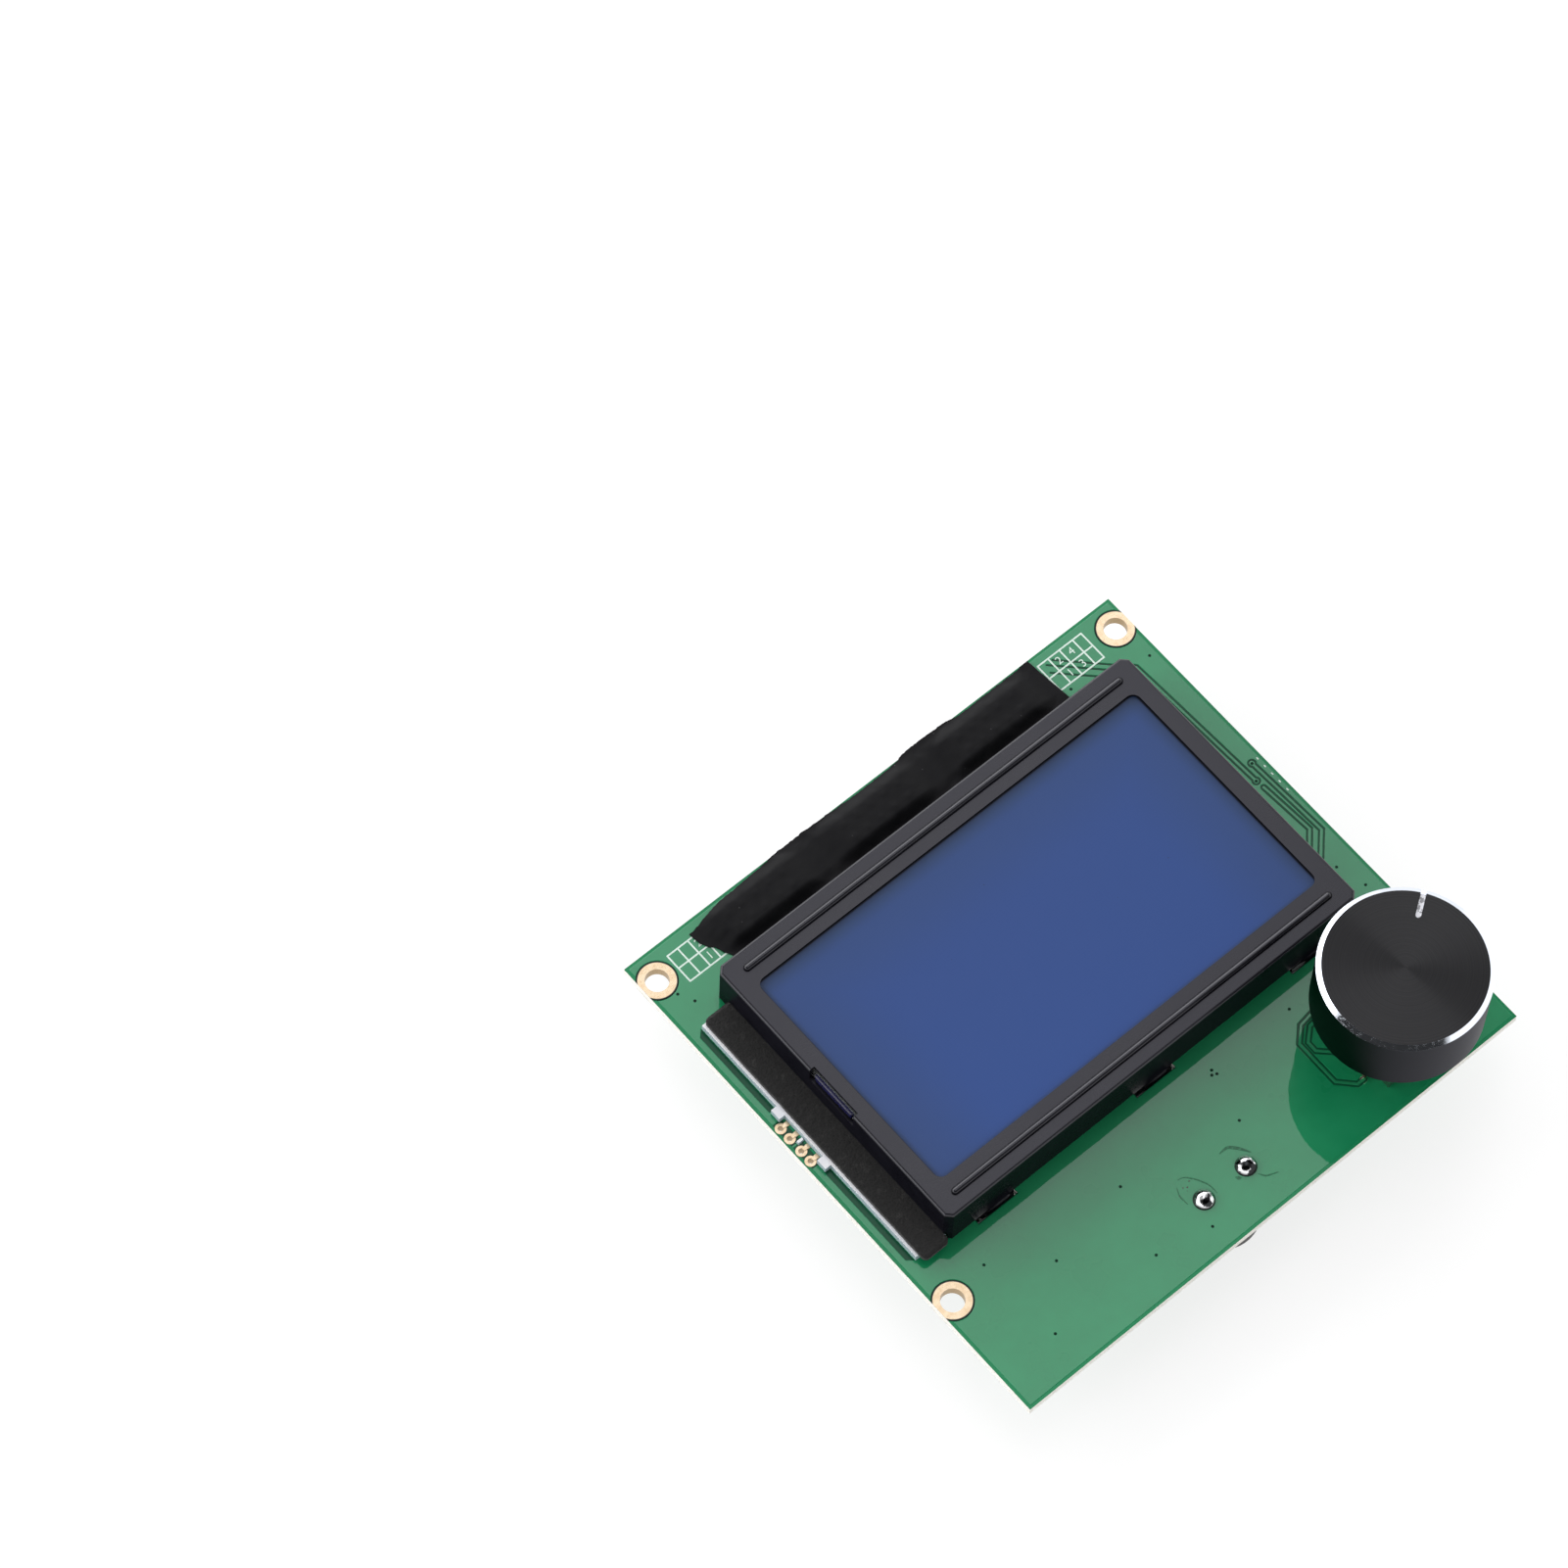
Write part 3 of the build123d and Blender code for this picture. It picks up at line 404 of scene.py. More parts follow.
def gold_plate(name, mask_rim=False):
    finish = Finish(name, Metallic=0.85)
    broad, fine = finish.noise(0.9, 3, 0.6), finish.noise(0.12, 3)
    colour = broad.patches((0.76, 0.58, 0.37), (0.85, 0.68, 0.47))
    # Faces that do not face up or down, such as the hole walls, are painted a darker brown: painted shade.
    colour = abs(finish.up()).span(0.4, 0.7).mix((0.46, 0.32, 0.17), colour)
    if mask_rim:
        plated = pad_gap(finish, pad_radius)
        colour = plated.mix(pad_gap_green, colour)
        finish.set(Metallic=plated * 0.85)
    return finish.use(colour, fine.gloss(0.24, 0.4), fine.bump(0.004))


def tape_film():
    finish = Finish("tape_film", IOR=1.5, Specular_IOR_Level=0.09)
    fine, broad = finish.noise(0.3, 3, 0.6), finish.noise(4, 3, 0.6)
    stretch_lines = finish.noise(1.4, 3, 0.6, finish.stretch((1, 5, 1)))
    dust = finish.cells(2.6).near(0.02, 0.05)
    colour = broad.gloss(0, 1).mix((0.0095, 0.0095, 0.0108), (0.012, 0.012, 0.0132))
    return finish.use((dust * 0.5).mix(colour, rgb(90, 90, 92)), broad.gloss(0.46, 0.56),
                      fine.bump(0.003, stretch_lines.bump(0.02)))


def foam_rubber():
    finish = Finish("foam_rubber", IOR=1.4, Specular_IOR_Level=0.3, Sheen_Weight=0.15, Sheen_Roughness=0.6)
    pores, large = finish.cells(0.32), finish.cells(0.75)
    fibre = finish.noise(0.4, 3, 0.7, distortion=1.5)
    speck = (fibre * finish.noise(1.6)).span(0.3, 0.4)
    dark = pores.span(0.05, 0.35).mix((0.003, 0.003, 0.003), (0.0115, 0.0112, 0.0112))
    return finish.use((speck * 0.6).mix(dark, (0.036, 0.035, 0.034)),
                      pores.near(0, 0.4, 0.85), pores.bump(0.06, large.bump(0.06)))


def thin_coat(name, dark, light, grain, roughness, gloss, depth, **constants):
    """Ink or dried flux, of one fine grain."""
    finish = Finish(name, IOR=1.5, **constants)
    fine = finish.noise(grain, 3, roughness)
    return finish.use(fine.patches(dark, light), fine.gloss(*gloss), fine.bump(depth))


def tray_plastic():
    finish = Finish("tray_plastic", IOR=1.49)
    broad, fine = finish.noise(5, 3), finish.noise(0.3)
    colour = broad.patches(rgb(240, 242, 248), rgb(250, 250, 253))
    # The tray's sides are painted a darker blue-grey than its top: painted shade.
    return finish.use(finish.up().span(0.2, 0.7).mix(rgb(168, 184, 192), colour),
                      fine.gloss(0.28, 0.4), fine.bump(0.003))


def clear_sheet(name, tint, roughness, ior):
    finish = Finish(name, Transmission_Weight=0.9, IOR=ior)
    haze = finish.noise(3, 3)
    return finish.use(haze.mix(tint, (0.9, 0.93, 0.92)), haze.gloss(roughness, roughness + 0.05))


def wound_wire():
    finish = Finish("wound_wire", Metallic=0.9, Coat_Weight=0.6, Coat_Roughness=0.1)
    turns = finish.axis("Z").waves(0.1)
    return finish.use(turns.span(-1, 1).mix((0.35, 0.09, 0.02), (0.72, 0.28, 0.1)),
                      turns.span(-1, 1, 0.45, 0.25), turns.bump(0.02))


# Finishes of their own, and the CAD nodes that have each
laminate = board_laminate()
mask_over_copper = solder_mask("mask_over_copper", (0.012, 0.25, 0.1), (0.009, 0.228, 0.089), 0.05)
copper_track = solder_mask("mask_over_track", (0.02, 0.245, 0.105), (0.017, 0.22, 0.09), 0.08)
paint, gold, tape_black, foam_black = bezel_paint(), gold_plate("gold_plate"), tape_film(), foam_rubber()
white_plastic = tray_plastic()
ink = thin_coat("print_ink", rgb(206, 232, 218), rgb(236, 250, 242), 0.12, 0.7, (0.45, 0.6), 0.004)
flux = thin_coat("flux_film", (0.008, 0.105, 0.045), (0.02, 0.17, 0.075), 0.4, 0.6, (0.08, 0.3), 0.01,
                 Specular_IOR_Level=0.35)
DRESSED = [
    (laminate, "circuit_board"), (gold_plate("mounting_pad_gold", mask_rim=True), "mounting_hole_plating"),
    (gold, "backlight_pads"), (white_plastic, "backlight_tray"), (display_film(), "front_polarizer"),
    (clear_sheet("display_glass", (0.8, 0.88, 0.86), 0.02, 1.52), "rear_glass front_glass"),
    (clear_sheet("light_guide_acrylic", (0.86, 0.92, 0.92), 0.03, 1.49), "light_guide"),
    (paint, "bezel_frame"), (solder(), "header_solder encoder_solder chip_end_caps"),
    (buzzer_joint(), "buzzer_pins buzzer_solder"), (wound_wire(), "buzzer_coil"),
    (knob_metal(), "knob_shell"), (tape_black, "insulating_tape"), (foam_black, "foam_pad"),
]

# Grained finishes: name, CAD nodes, light and dark colour, grain, roughness, its spread, relief, the rest
metal = {"Metallic": 1}
GRAINED = [
    ("dull_tin", "", (0.3, 0.32, 0.31), (0.2, 0.215, 0.21), 0.25, 0.4, 0.1, 0.01, {"Metallic": 0.9}),
    ("via_plug", "", (0.003, 0.045, 0.022), (0.001, 0.014, 0.008), 0.2, 0.6, 0.1, 0.01,
     {"Specular_IOR_Level": 0.12}),
    ("reflector_film", "reflector_sheet", rgb(235, 238, 242), rgb(222, 226, 232), 0.5, 0.25, 0.06, 0.002),
    ("diffuser_film", "diffuser_sheet", rgb(226, 228, 230), rgb(212, 215, 218), 0.3, 0.7, 0.1, 0.004),
    ("lamp_strip_mask", "lamp_strip", rgb(228, 230, 222), rgb(205, 208, 200), 0.4, 0.4, 0.08, 0.004),
    ("lamp_gel", "backlight_lamps", rgb(236, 214, 90), rgb(222, 190, 60), 0.3, 0.3, 0.08, 0.003,
     {"Coat_Weight": 0.4}),
    ("rear_polarizer_film", "rear_polarizer", rgb(120, 128, 140), rgb(100, 108, 122), 0.6, 0.3, 0.08, 0.002),
    ("port_seal_resin", "filling_port_seal", (0.008, 0.008, 0.075), (0.004, 0.004, 0.04), 0.4, 0.25, 0.08,
     0.01, {"Coat_Weight": 0.6}),
    ("contact_rubber", "contact_strip_upper contact_strip_lower", rgb(206, 170, 172), rgb(178, 140, 146),
     0.12, 0.7, 0.1, 0.01),
    ("header_plastic", "header_shroud_1 header_shroud_2 header_shroud_3 buzzer_transistor",
     (0.012, 0.012, 0.013), (0.007, 0.007, 0.008), 0.16, 0.42, 0.08, 0.006),
    ("buzzer_plastic", "buzzer_case", (0.01, 0.01, 0.011), (0.006, 0.006, 0.007), 0.14, 0.34, 0.08, 0.005,
     {"Specular_IOR_Level": 0.15}),
    ("buzzer_potting", "buzzer_base", rgb(70, 66, 60), rgb(48, 45, 42), 0.4, 0.35, 0.12, 0.02),
    ("magnet_ferrite", "buzzer_magnet", rgb(66, 66, 68), rgb(44, 44, 46), 0.15, 0.6, 0.1, 0.008),
    ("bare_steel", "buzzer_pole encoder_frame", rgb(190, 190, 186), rgb(160, 160, 158), 0.25, 0.32, 0.08,
     0.004, metal),
    ("spring_steel", "buzzer_diaphragm detent_spring switch_dome", rgb(200, 198, 190), rgb(176, 172, 160),
     0.3, 0.25, 0.06, 0.002, metal),
    ("tinned_brass", "transistor_leads trimmer_rotor trimmer_terminals", rgb(214, 208, 196),
     rgb(188, 176, 150), 0.25, 0.28, 0.08, 0.004, metal),
    ("pin_gold", "header_pins_1 header_pins_2 header_pins_3", rgb(236, 200, 120), rgb(214, 170, 88), 0.3,
     0.24, 0.06, 0.002, metal),
    ("terminal_plating", "encoder_terminals", (0.96, 0.88, 0.74), (0.8, 0.52, 0.28), 0.25, 0.16, 0.06,
     0.004, metal),
    ("encoder_phenolic", "encoder_base", rgb(24, 84, 54), rgb(18, 68, 44), 0.3, 0.5, 0.1, 0.01),
    ("rotor_plastic", "encoder_rotor", rgb(224, 222, 212), rgb(206, 203, 192), 0.3, 0.45, 0.08, 0.005),
    ("knob_nylon", "knob_insert", rgb(44, 44, 46), rgb(30, 30, 32), 0.2, 0.5, 0.1, 0.008),
    ("shaft_aluminium", "encoder_bushing encoder_shaft", rgb(206, 208, 212), rgb(182, 184, 190), 0.2, 0.3,
     0.08, 0.004, metal),
    ("driver_resin", "driver_resin", (0.01, 0.01, 0.011), (0.005, 0.005, 0.006), 0.7, 0.22, 0.08, 0.03,
     {"Coat_Weight": 0.5, "Coat_Roughness": 0.12}),
    ("resistor_black", "chip_resistors", rgb(40, 40, 44), rgb(26, 26, 30), 0.1, 0.35, 0.1, 0.004),
    ("capacitor_tan", "chip_capacitors", rgb(176, 142, 106), rgb(150, 116, 82), 0.12, 0.5, 0.1, 0.005),
    ("trimmer_blue", "trimmer_base", rgb(58, 92, 168), rgb(42, 70, 138), 0.25, 0.42, 0.08, 0.006),
]
DRESSED += [(grained(name, *look), nodes) for name, nodes, *look in GRAINED]
dull_tin, via_dark, potting = map(bpy.data.materials.get, ("dull_tin", "via_plug", "buzzer_potting"))

for finish, nodes in DRESSED:
    for node in nodes.split():
        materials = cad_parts[node].data.materials
        materials.clear()
        materials.append(finish)


# Meshes and outlines
def add_object(name, data):
    thing = bpy.data.objects.new(name, data)
    bpy.context.scene.collection.objects.link(thing)
    return thing


def board_piece(name, mesh, finish):
    mesh.materials.clear()
    mesh.materials.append(finish)
    piece = add_object(name, mesh)
    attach(piece, BOARD_BODY)
    return piece


def mesh_piece(name, points, faces, finish, crease=None):
    """A piece from points in millimetres, shaded smooth up to the crease angle if there is one."""
    mesh = bpy.data.meshes.new(name)
    mesh.from_pydata([Vector(p) * MM for p in points], [], faces)
    mesh.update()
    if crease:
        mesh.polygons.foreach_set("use_smooth", [True] * len(mesh.polygons))
        mesh.set_sharp_from_angle(angle=radians(crease))
    return board_piece(name, mesh, finish)


def facing(faces, up):
    return faces if up else [face[::-1] for face in faces]


def ring_faces(first, second, count):
    """Faces between two closed rings, whose points start at the numbers first and second."""
    return [(first + i, first + (i + 1) % count, second + (i + 1) % count, second + i) for i in range(count)]


def slab_faces(base, columns, rows):
    """Faces of a thin slab, whose points are a grid for the upper side and then one for the lower."""
    def spot(i, j, lower=0):
        return base + (lower * (columns + 1) + i) * (rows + 1) + j

    faces = []
    for i in range(columns):
        for j in range(rows):
            corners = [(i, j), (i + 1, j), (i + 1, j + 1), (i, j + 1)]
            faces.append(tuple(spot(*corner) for corner in corners))
            faces.append(tuple(spot(*corner, 1) for corner in reversed(corners)))
    rim = [(i, 0) for i in range(columns)] + [(columns, j) for j in range(rows)]
    rim += [(i, rows) for i in range(columns, 0, -1)] + [(0, j) for j in range(rows, 0, -1)]
    for a, b in zip(rim, rim[1:] + rim[:1]):
        faces.append((spot(*a, 1), spot(*b, 1), spot(*b), spot(*a)))
    return faces


def arc(x, y, radius, start, stop, count):
    turns = [start + (stop - start) * i / count for i in range(count + 1)]
    return [(x + radius * cos(t), y + radius * sin(t)) for t in turns]


def circle(x, y, radius, count):
    return arc(x, y, radius, 0, 2 * pi, count)[:-1]


def rectangle(x0, x1, y0, y1):
    return [(x0, y0), (x1, y0), (x1, y1), (x0, y1)]


def closed(points):
    return points + points[:1]


def on_board(points):
    """Places measured from the board's lower left corner."""
    return [(board_low.x + x, board_low.y + y) for x, y in points]


def turned(loop, solid):
    """Anticlockwise round a filled area, clockwise round a hole, so that the fill is on the left."""
    area = sum(a[0] * b[1] - b[0] * a[1] for a, b in zip(loop, loop[1:] + loop[:1]))
    return loop if (area > 0) == solid else loop[::-1]


def mitre(first, second):
    """Direction to the left of a corner, and how far along it a distance of 1 reaches."""
    normal = Vector((-first.y - second.y, first.x + second.x))
    return normal, 1 / max(0.35, 0.5 * normal.length_squared)


def shifted_left(loop, distance):
    moved = []
    for i, (x, y) in enumerate(loop):
        before, here, after = Vector(loop[i - 1]), Vector((x, y)), Vector(loop[(i + 1) % len(loop)])
        normal, reach = mitre((here - before).normalized(), (after - here).normalized())
        moved.append((x + normal.x * distance * reach, y + normal.y * distance * reach))
    return moved


def stroke(points, width, start=0, end=0, cap_count=10):
    """Outline of a line of that width along points, with round ends of the given radii."""
    half = width / 2
    path = [Vector(p) for p in points]
    left, right = [], []
    for before, here, after in zip(path, path[1:], path[2:]):
        normal, reach = mitre((here - before).normalized(), (after - here).normalized())
        left.append(tuple(here + normal * (half * reach)))
        right.append(tuple(here - normal * (half * reach)))

    def cap(centre, direction, radius):
        radius = max(radius, half * 1.02)
        back = atan2(direction.y, direction.x) + pi
        sweep = pi - asin(half / radius)
        return arc(centre.x, centre.y, radius, back - sweep, back + sweep, cap_count)

    first, last = cap(path[0], path[1] - path[0], start), cap(path[-1], path[-2] - path[-1], end)
    return first + right + last + left[::-1]


def inside(loop, point):
    found = False
    for (x0, y0), (x1, y1) in zip(loop, loop[1:] + loop[:1]):
        if (y0 > point.y) != (y1 > point.y) and point.x < x0 + (point.y - y0) * (x1 - x0) / (y1 - y0):
            found = not found
    return found


def fill(loops):
    """Triangles that fill closed loops by the even-odd rule."""
    points, edges = [], []
    for loop in loops:
        base = len(points)
        points += [Vector(p) for p in loop]
        edges += [(base + i, base + (i + 1) % len(loop)) for i in range(len(loop))]
    places, _, triangles, *_ = delaunay_2d_cdt(points, edges, [], 1, 1e-7)
    kept = []
    for triangle in triangles:
        centre = sum((places[i] for i in triangle), Vector((0, 0))) / 3
        if sum(inside(loop, centre) for loop in loops) % 2:
            kept.append(tuple(triangle))
    return places, kept


def plate(name, solids, holes, z, rise, slope, finish):
    """A thin layer on the board: filled outlines with sloping edges, rise up or down from z."""
    loops = [turned(loop, True) for loop in solids] + [turned(loop, False) for loop in holes]
    tops = [shifted_left(loop, slope) for loop in loops]
    places, faces = fill(tops)
    points = [(p[0], p[1], z + rise) for p in places]
    for loop, top in zip(loops, tops):
        faces += ring_faces(len(points), len(points) + len(loop), len(loop))
        points += [(x, y, z) for x, y in loop] + [(x, y, z + rise) for x, y in top]
    piece = mesh_piece(name, points, facing(faces, rise > 0), finish)
    painted_reflection_mask = bmesh.new()
    painted_reflection_mask.from_mesh(piece.data)
    bmesh.ops.remove_doubles(painted_reflection_mask, verts=painted_reflection_mask.verts, dist=0.0005 * MM)
    bmesh.ops.recalc_face_normals(painted_reflection_mask, faces=painted_reflection_mask.faces)
    up = sum(f.normal.z * f.calc_area() for f in painted_reflection_mask.faces)
    if (up > 0) != (rise > 0):
        bmesh.ops.reverse_faces(painted_reflection_mask, faces=painted_reflection_mask.faces)
    painted_reflection_mask.to_mesh(piece.data)
    painted_reflection_mask.free()


# Copper under the mask, in millimetres from the board's lower left corner on the front
copper_rise, copper_slope = 0.035, 0.07
track_width, track_gap = 0.42, 0.3
pads_margin, key_margin = 0.25, 0.15
tab_x = [bezel_low.x + 9, bezel_middle.x, bezel_high.x - 9]
slot_rows = [bezel_low.y - 0.05, bezel_high.y + 0.05]
front_tracks = [
    ([(71, 19.3), (68.4, 18.9), (66.25, 16.8), (66.2, 9.2), (68.4, 6.9), (69.6, 6.9)], 0, 0),
    ([(71.6, 18.2), (69.3, 17.95), (67.35, 16.2), (67.3, 14.6), (69.6, 12.3), (72, 12)], 0, 0),
    ([(84, 77.5), (87.8, 77.5), (88.6, 76.7), (89.6, 51.7)], 0, 0.42),
    ([(89.75, 50.2), (90.35, 41), (88.4, 38.9), (85.9, 36.5)], 0, 0),
    ([(91.05, 54.2), (91.6, 39.8), (89.2, 37.3), (86.2, 34.2)], 0.42, 0),
]
front_gaps = [[(86.4, 79.1), (80, 85.5)], [(85, 79.2), (78.8, 85.4)], [(83.6, 78.9), (78.4, 84.1)]]
bare_margins = [[(1.45, 28), (2.45, 27.2), (2.45, 45.6), (1.45, 45.6)],
                [(1.45, 57.4), (2.45, 57.4), (2.45, 73.6), (1.45, 72.6)]]
front_vias = [(91.4, 76.9), (89.2, 34), (90.5, 29.2), (68.8, 21.8), (53.4, 21.3), (53.9, 21.9), (54.1, 21),
              (51.7, 13.6), (32, 16.9), (17.6, 14.3), (28.9, 5.9), (10.2, 6.2), (37.9, 4), (9.4, 20.4),
              (91.05, 54.2), (89.6, 51.7), (4.6, 77.5), (3.4, 79.9), (78.9, 80.2)]


def pour_outline():
    """The copper field's edge, which passes round the mounting pads and the backlight's pads."""
    x0, x1 = board_low.x + copper_inset, board_high.x - copper_inset
    y0, y1 = board_low.y + copper_inset, board_high.y - copper_inset
    reach = acos((x1 - hole_x) / hole_clearance)

    def notch(x, y, start, stop):
        return arc(x, y, hole_clearance, start, stop, 28)

    loop = [(x0, y0), (x1, y0)]
    for y in (-hole_y, hole_y):
        loop += notch(hole_x, y, -reach, -2 * pi + reach)
    loop += [(x1, y1), (x0, y1)]
    loop += notch(-hole_x, hole_y, pi - reach, -pi + reach)
    inner = pads_high.x + pads_margin
    for top, bottom in ((pads_high.y + pads_margin, key_margin), (-key_margin, pads_low.y - pads_margin)):
        loop += [(x0, top), (inner, top), (inner, bottom), (x0, bottom)]
    return loop + notch(-hole_x, -hole_y, pi - reach, -pi + reach)


def copper(face, routes, cuts, slot_half, vias, z, side):
    """The copper field with its slots and channels, the tracks in the channels, and plugged vias."""
    channels, strips = [], []
    for points, start, end in routes:
        gaps = [radius + track_gap if radius else 0 for radius in (start, end)]
        channels.append(stroke(points, track_width + 2 * track_gap, *gaps))
        strips.append(stroke(points, track_width, start, end))
    long, wide = slot_half
    slots = [rectangle(x - long, x + long, y - wide, y + wide) for x in tab_x for y in slot_rows]
    rise = side * copper_rise
    plate(f"{face}_copper_field", [pour_outline()], channels + cuts + slots, z, rise, copper_slope,
          mask_over_copper)
    plate(f"{face}_copper_tracks", strips, [], z, rise, copper_slope, copper_track)

    count = 14
    points, faces = [], []
    for x, y in vias:
        for radius, height in ((0.24, 0), (0.2, 0.015), (0.13, 0.012), (0.08, 0.002)):
            if height:
                faces += ring_faces(len(points) - count, len(points), count)
            points += [(px, py, z + rise + side * height) for px, py in circle(x, y, radius, count)]
        faces.append(tuple(range(len(points) - count, len(points))))
    mesh_piece(f"{face}_via_plugs", points, facing(faces, side > 0), via_dark)


def rear_routes():
    """Tracks on the rear: from the headers down to the chips, and from the chips to the lower edge."""
    routes = []
    for centre in header_centres:
        for i in range(5):
            x = centre.x + (i - 2) * pin_pitch
            goal = x + 0.9 * (i - 2)
            routes.append(([(x, 26.6), (x, 22.4), (goal, 20), (goal, 17)], 0, 0))
    for x in capacitor_x:
        routes.append(([(x, 13.2), (x, 11.4), (x * 0.93, 9.9)], 0, 0))
    for i, x in enumerate(resistor_x):
        goal = -27 + i * 2.6
        routes.append(([(x, -31.2), (x, -29.6), (goal, -27.4 + 0.3 * i), (goal, -8 - 0.2 * i)], 0, 0.42))
    for i in range(3):
        x, y = -33 + i * 4, -38 - i * 1.1
        routes.append(([(x, -34.8), (x, y + 1), (x + 1.4, y - 0.2), (-19.5, y - 0.2)], 0, 0.42))
    routes.append(([(5.2, -38.4), (12, -38.4), (14.4, -40.4), (20.8, -40.4)], 0, 0.42))
    routes.append(([(5.2, -46.4), (14, -46.4), (16, -44.2), (21.2, -44.2)], 0.42, 0))
    routes.append(([(33, 14), (30.6, 11.6), (30.6, -16), (36, -21.4), (36, -33.6)], 0, 0.42))
    return routes


rear_vias = [(-40, 20), (-40, 12), (-41, -6), (-38, -18), (40, 2), (41, -10), (38, -27), (10, -30), (14, -33),
             (20, -28), (26, -34), (-26, -46), (-34, -47), (8, -49), (16, -50), (-40, -44), (42, -48),
             (0, -14)]
front_cuts = [stroke(on_board(points), track_gap) for points in front_gaps]
front_cuts += [on_board(points) for points in bare_margins]
copper("front", [(on_board(points), start, end) for points, start, end in front_tracks], front_cuts,
       (3.74, 0.74), on_board(front_vias), front, 1)
copper("rear", rear_routes(), [], (3.95, 1), rear_vias, 0, -1)

# Print on the board
print_rise = 0.012
table_z = front + copper_rise


def lines_piece(name, routes, z, side, width=0.26):
    """Printed lines, each a stroke of its own a little above the last so that crossings stay clean."""
    points, faces = [], []
    for number, route in enumerate(routes):
        loop = stroke(route, width, cap_count=6)
        places, triangles = fill([loop])
        height = z + side * (print_rise + 0.0008 * (number % 8))
        faces += [tuple(len(points) + i for i in t) for t in triangles]
        points += [(p[0], p[1], height) for p in places]
        faces += ring_faces(len(points) + len(loop), len(points), len(loop))
        points += [(x, y, height) for x, y in loop] + [(x, y, z) for x, y in loop]
    mesh_piece(name, points, facing(faces, side > 0), ink)


def digit_meshes(name, marks, z, side, size=1.35):
    """Plain numbers as thin printed shapes."""
    joined = bmesh.new()
    for text, x, y in marks:
        curve = bpy.data.curves.new(name, "FONT")
        curve.body = text
        curve.size = size * 1.35
        curve.align_x = "CENTER"
        curve.align_y = "CENTER"
        curve.extrude = print_rise / 2
        curve.resolution_u = 4
        carrier = add_object(name, curve)
        bpy.context.view_layer.update()
        mesh = bpy.data.meshes.new_from_object(carrier.evaluated_get(bpy.context.evaluated_depsgraph_get()))
        place = Matrix.Translation((x, y, z + side * print_rise / 2))
        if side < 0:
            place = place @ Matrix.Rotation(pi, 4, "Y")
        mesh.transform(Matrix.Scale(MM, 4) @ place)
        joined.from_mesh(mesh)
        bpy.data.objects.remove(carrier)
        bpy.data.curves.remove(curve)
        bpy.data.meshes.remove(mesh)
    made = bpy.data.meshes.new(name)
    joined.to_mesh(made)
    joined.free()
    board_piece(name, made, ink)


def pin_table(columns, rows):
    """Printed pin table: every row line and column line."""
    routes = [[(columns[0], y), (columns[-1], y)] for y in rows]
    routes += [[(x, rows[0]), (x, rows[-1])] for x in columns]
    return [on_board(route) for route in routes]


def table_digits(columns, rows):
    middles = [((x0 + x1) / 2, (y0 + y1) / 2) for x0, x1 in zip(columns, columns[1:])
               for y0, y1 in zip(rows, rows[1:])]
    return [(str(i + 1), *place) for i, place in enumerate(on_board(middles))]


right_columns, right_rows = [77.6, 79.6, 81.8, 84.4, 86.1], [81, 83.5, 86.1]
left_columns, left_rows = [6.1, 8, 9.9, 11.9, 12.9], [80.3, 82.9, 85.4]
lines_piece("front_print_tables", pin_table(right_columns, right_rows) + pin_table(left_columns, left_rows),
            table_z, 1)
digit_meshes("front_print_digits", table_digits(right_columns[1:4], right_rows)
             + table_digits(left_columns[2:4], left_rows), table_z, 1)
dot_rows = (54.4, 52.8, 51.2, 49.6, 47.9)
lines_piece("front_print_dots", [on_board([(92.2, y), (92.2, y - 0.22)]) for y in dot_rows], table_z, 1, 0.22)


def rear_print():
    routes = []
    edge = board_high.y - 0.7
    for low, high in header_boxes:
        x0, x1, y0 = low.x - 0.6, high.x + 0.6, low.y - 0.6
        routes.append([(x0, edge), (x0, y0), (x1, y0), (x1, edge)])
        routes.append(closed([(x0 - 0.5, 30.6), (x0 - 1.5, 30), (x0 - 1.5, 31.2)]))
    buzzer_low, buzzer_high = box_mm("buzzer_case")
    x, y, _ = (buzzer_low + buzzer_high) / 2
    routes.append(closed(circle(x, y, 6.6, 48)))
    routes.append([(x - 8.2, y + 4.6), (x - 6.6, y + 4.6)])
    routes.append([(x - 7.4, y + 3.8), (x - 7.4, y + 5.4)])
    for node in ("trimmer_base", "buzzer_transistor"):
        low, high = box_mm(node)
        routes.append(closed(rectangle(low.x - 1, high.x + 1, low.y - 1, high.y + 1)))
    for columns, low, high in ((resistor_x, -34.1, -31.9), (capacitor_x, 13.9, 16.1)):
        for x in columns:
            routes += [[(x + side * 1.05, low), (x + side * 1.05, high)] for side in (-1, 1)]
    for x in (-21.9, 0.1, 22.1):
        routes.append(closed(circle(x, 2, 7.7, 56)))
    lines_piece("rear_print_lines", routes, -copper_rise, -1, 0.2)
    marks = [(str(i + 1), centre.x, 25.4) for i, centre in enumerate(reversed(header_centres))]
    marks += [("1", header_boxes[2][1].x + 1.9, 33.4), ("10", header_boxes[0][0].x - 2.2, 28.6)]
    marks += [(str(i + 1), x, -35.6) for i, x in enumerate(resistor_x)]
    marks += [(str(i + 1), x, 17.4) for i, x in enumerate(capacitor_x)]
    digit_meshes("rear_print_digits", marks, -copper_rise, -1, 1.2)


rear_print()

# Insulating tape over the header joints
film_thickness = 0.18
film_inner = 1.24
film_edge_marks = [(-36.4, 34.6), (-27.9, 35.75), (-22.3, 36), (-17.1, 36.45), (-12.9, 36.55), (-9, 36.3),
                   (-3.2, 36), (2.2, 36.05), (4.6, 36.2), (6.6, 36.75), (9.7, 36.8), (13.7, 36.6),
                   (17.3, 36.05), (22.8, 36.1), (26.5, 36.1), (31.5, 36.5)]


def group_lift(x):
    """How far the joints of the nearest header hold the film up, from 0 to 1."""
    nearest = min(abs(x - centre.x) for centre in header_centres)
    return 0.24 + 0.76 * (1 - smooth(5.9, 10.2, nearest))


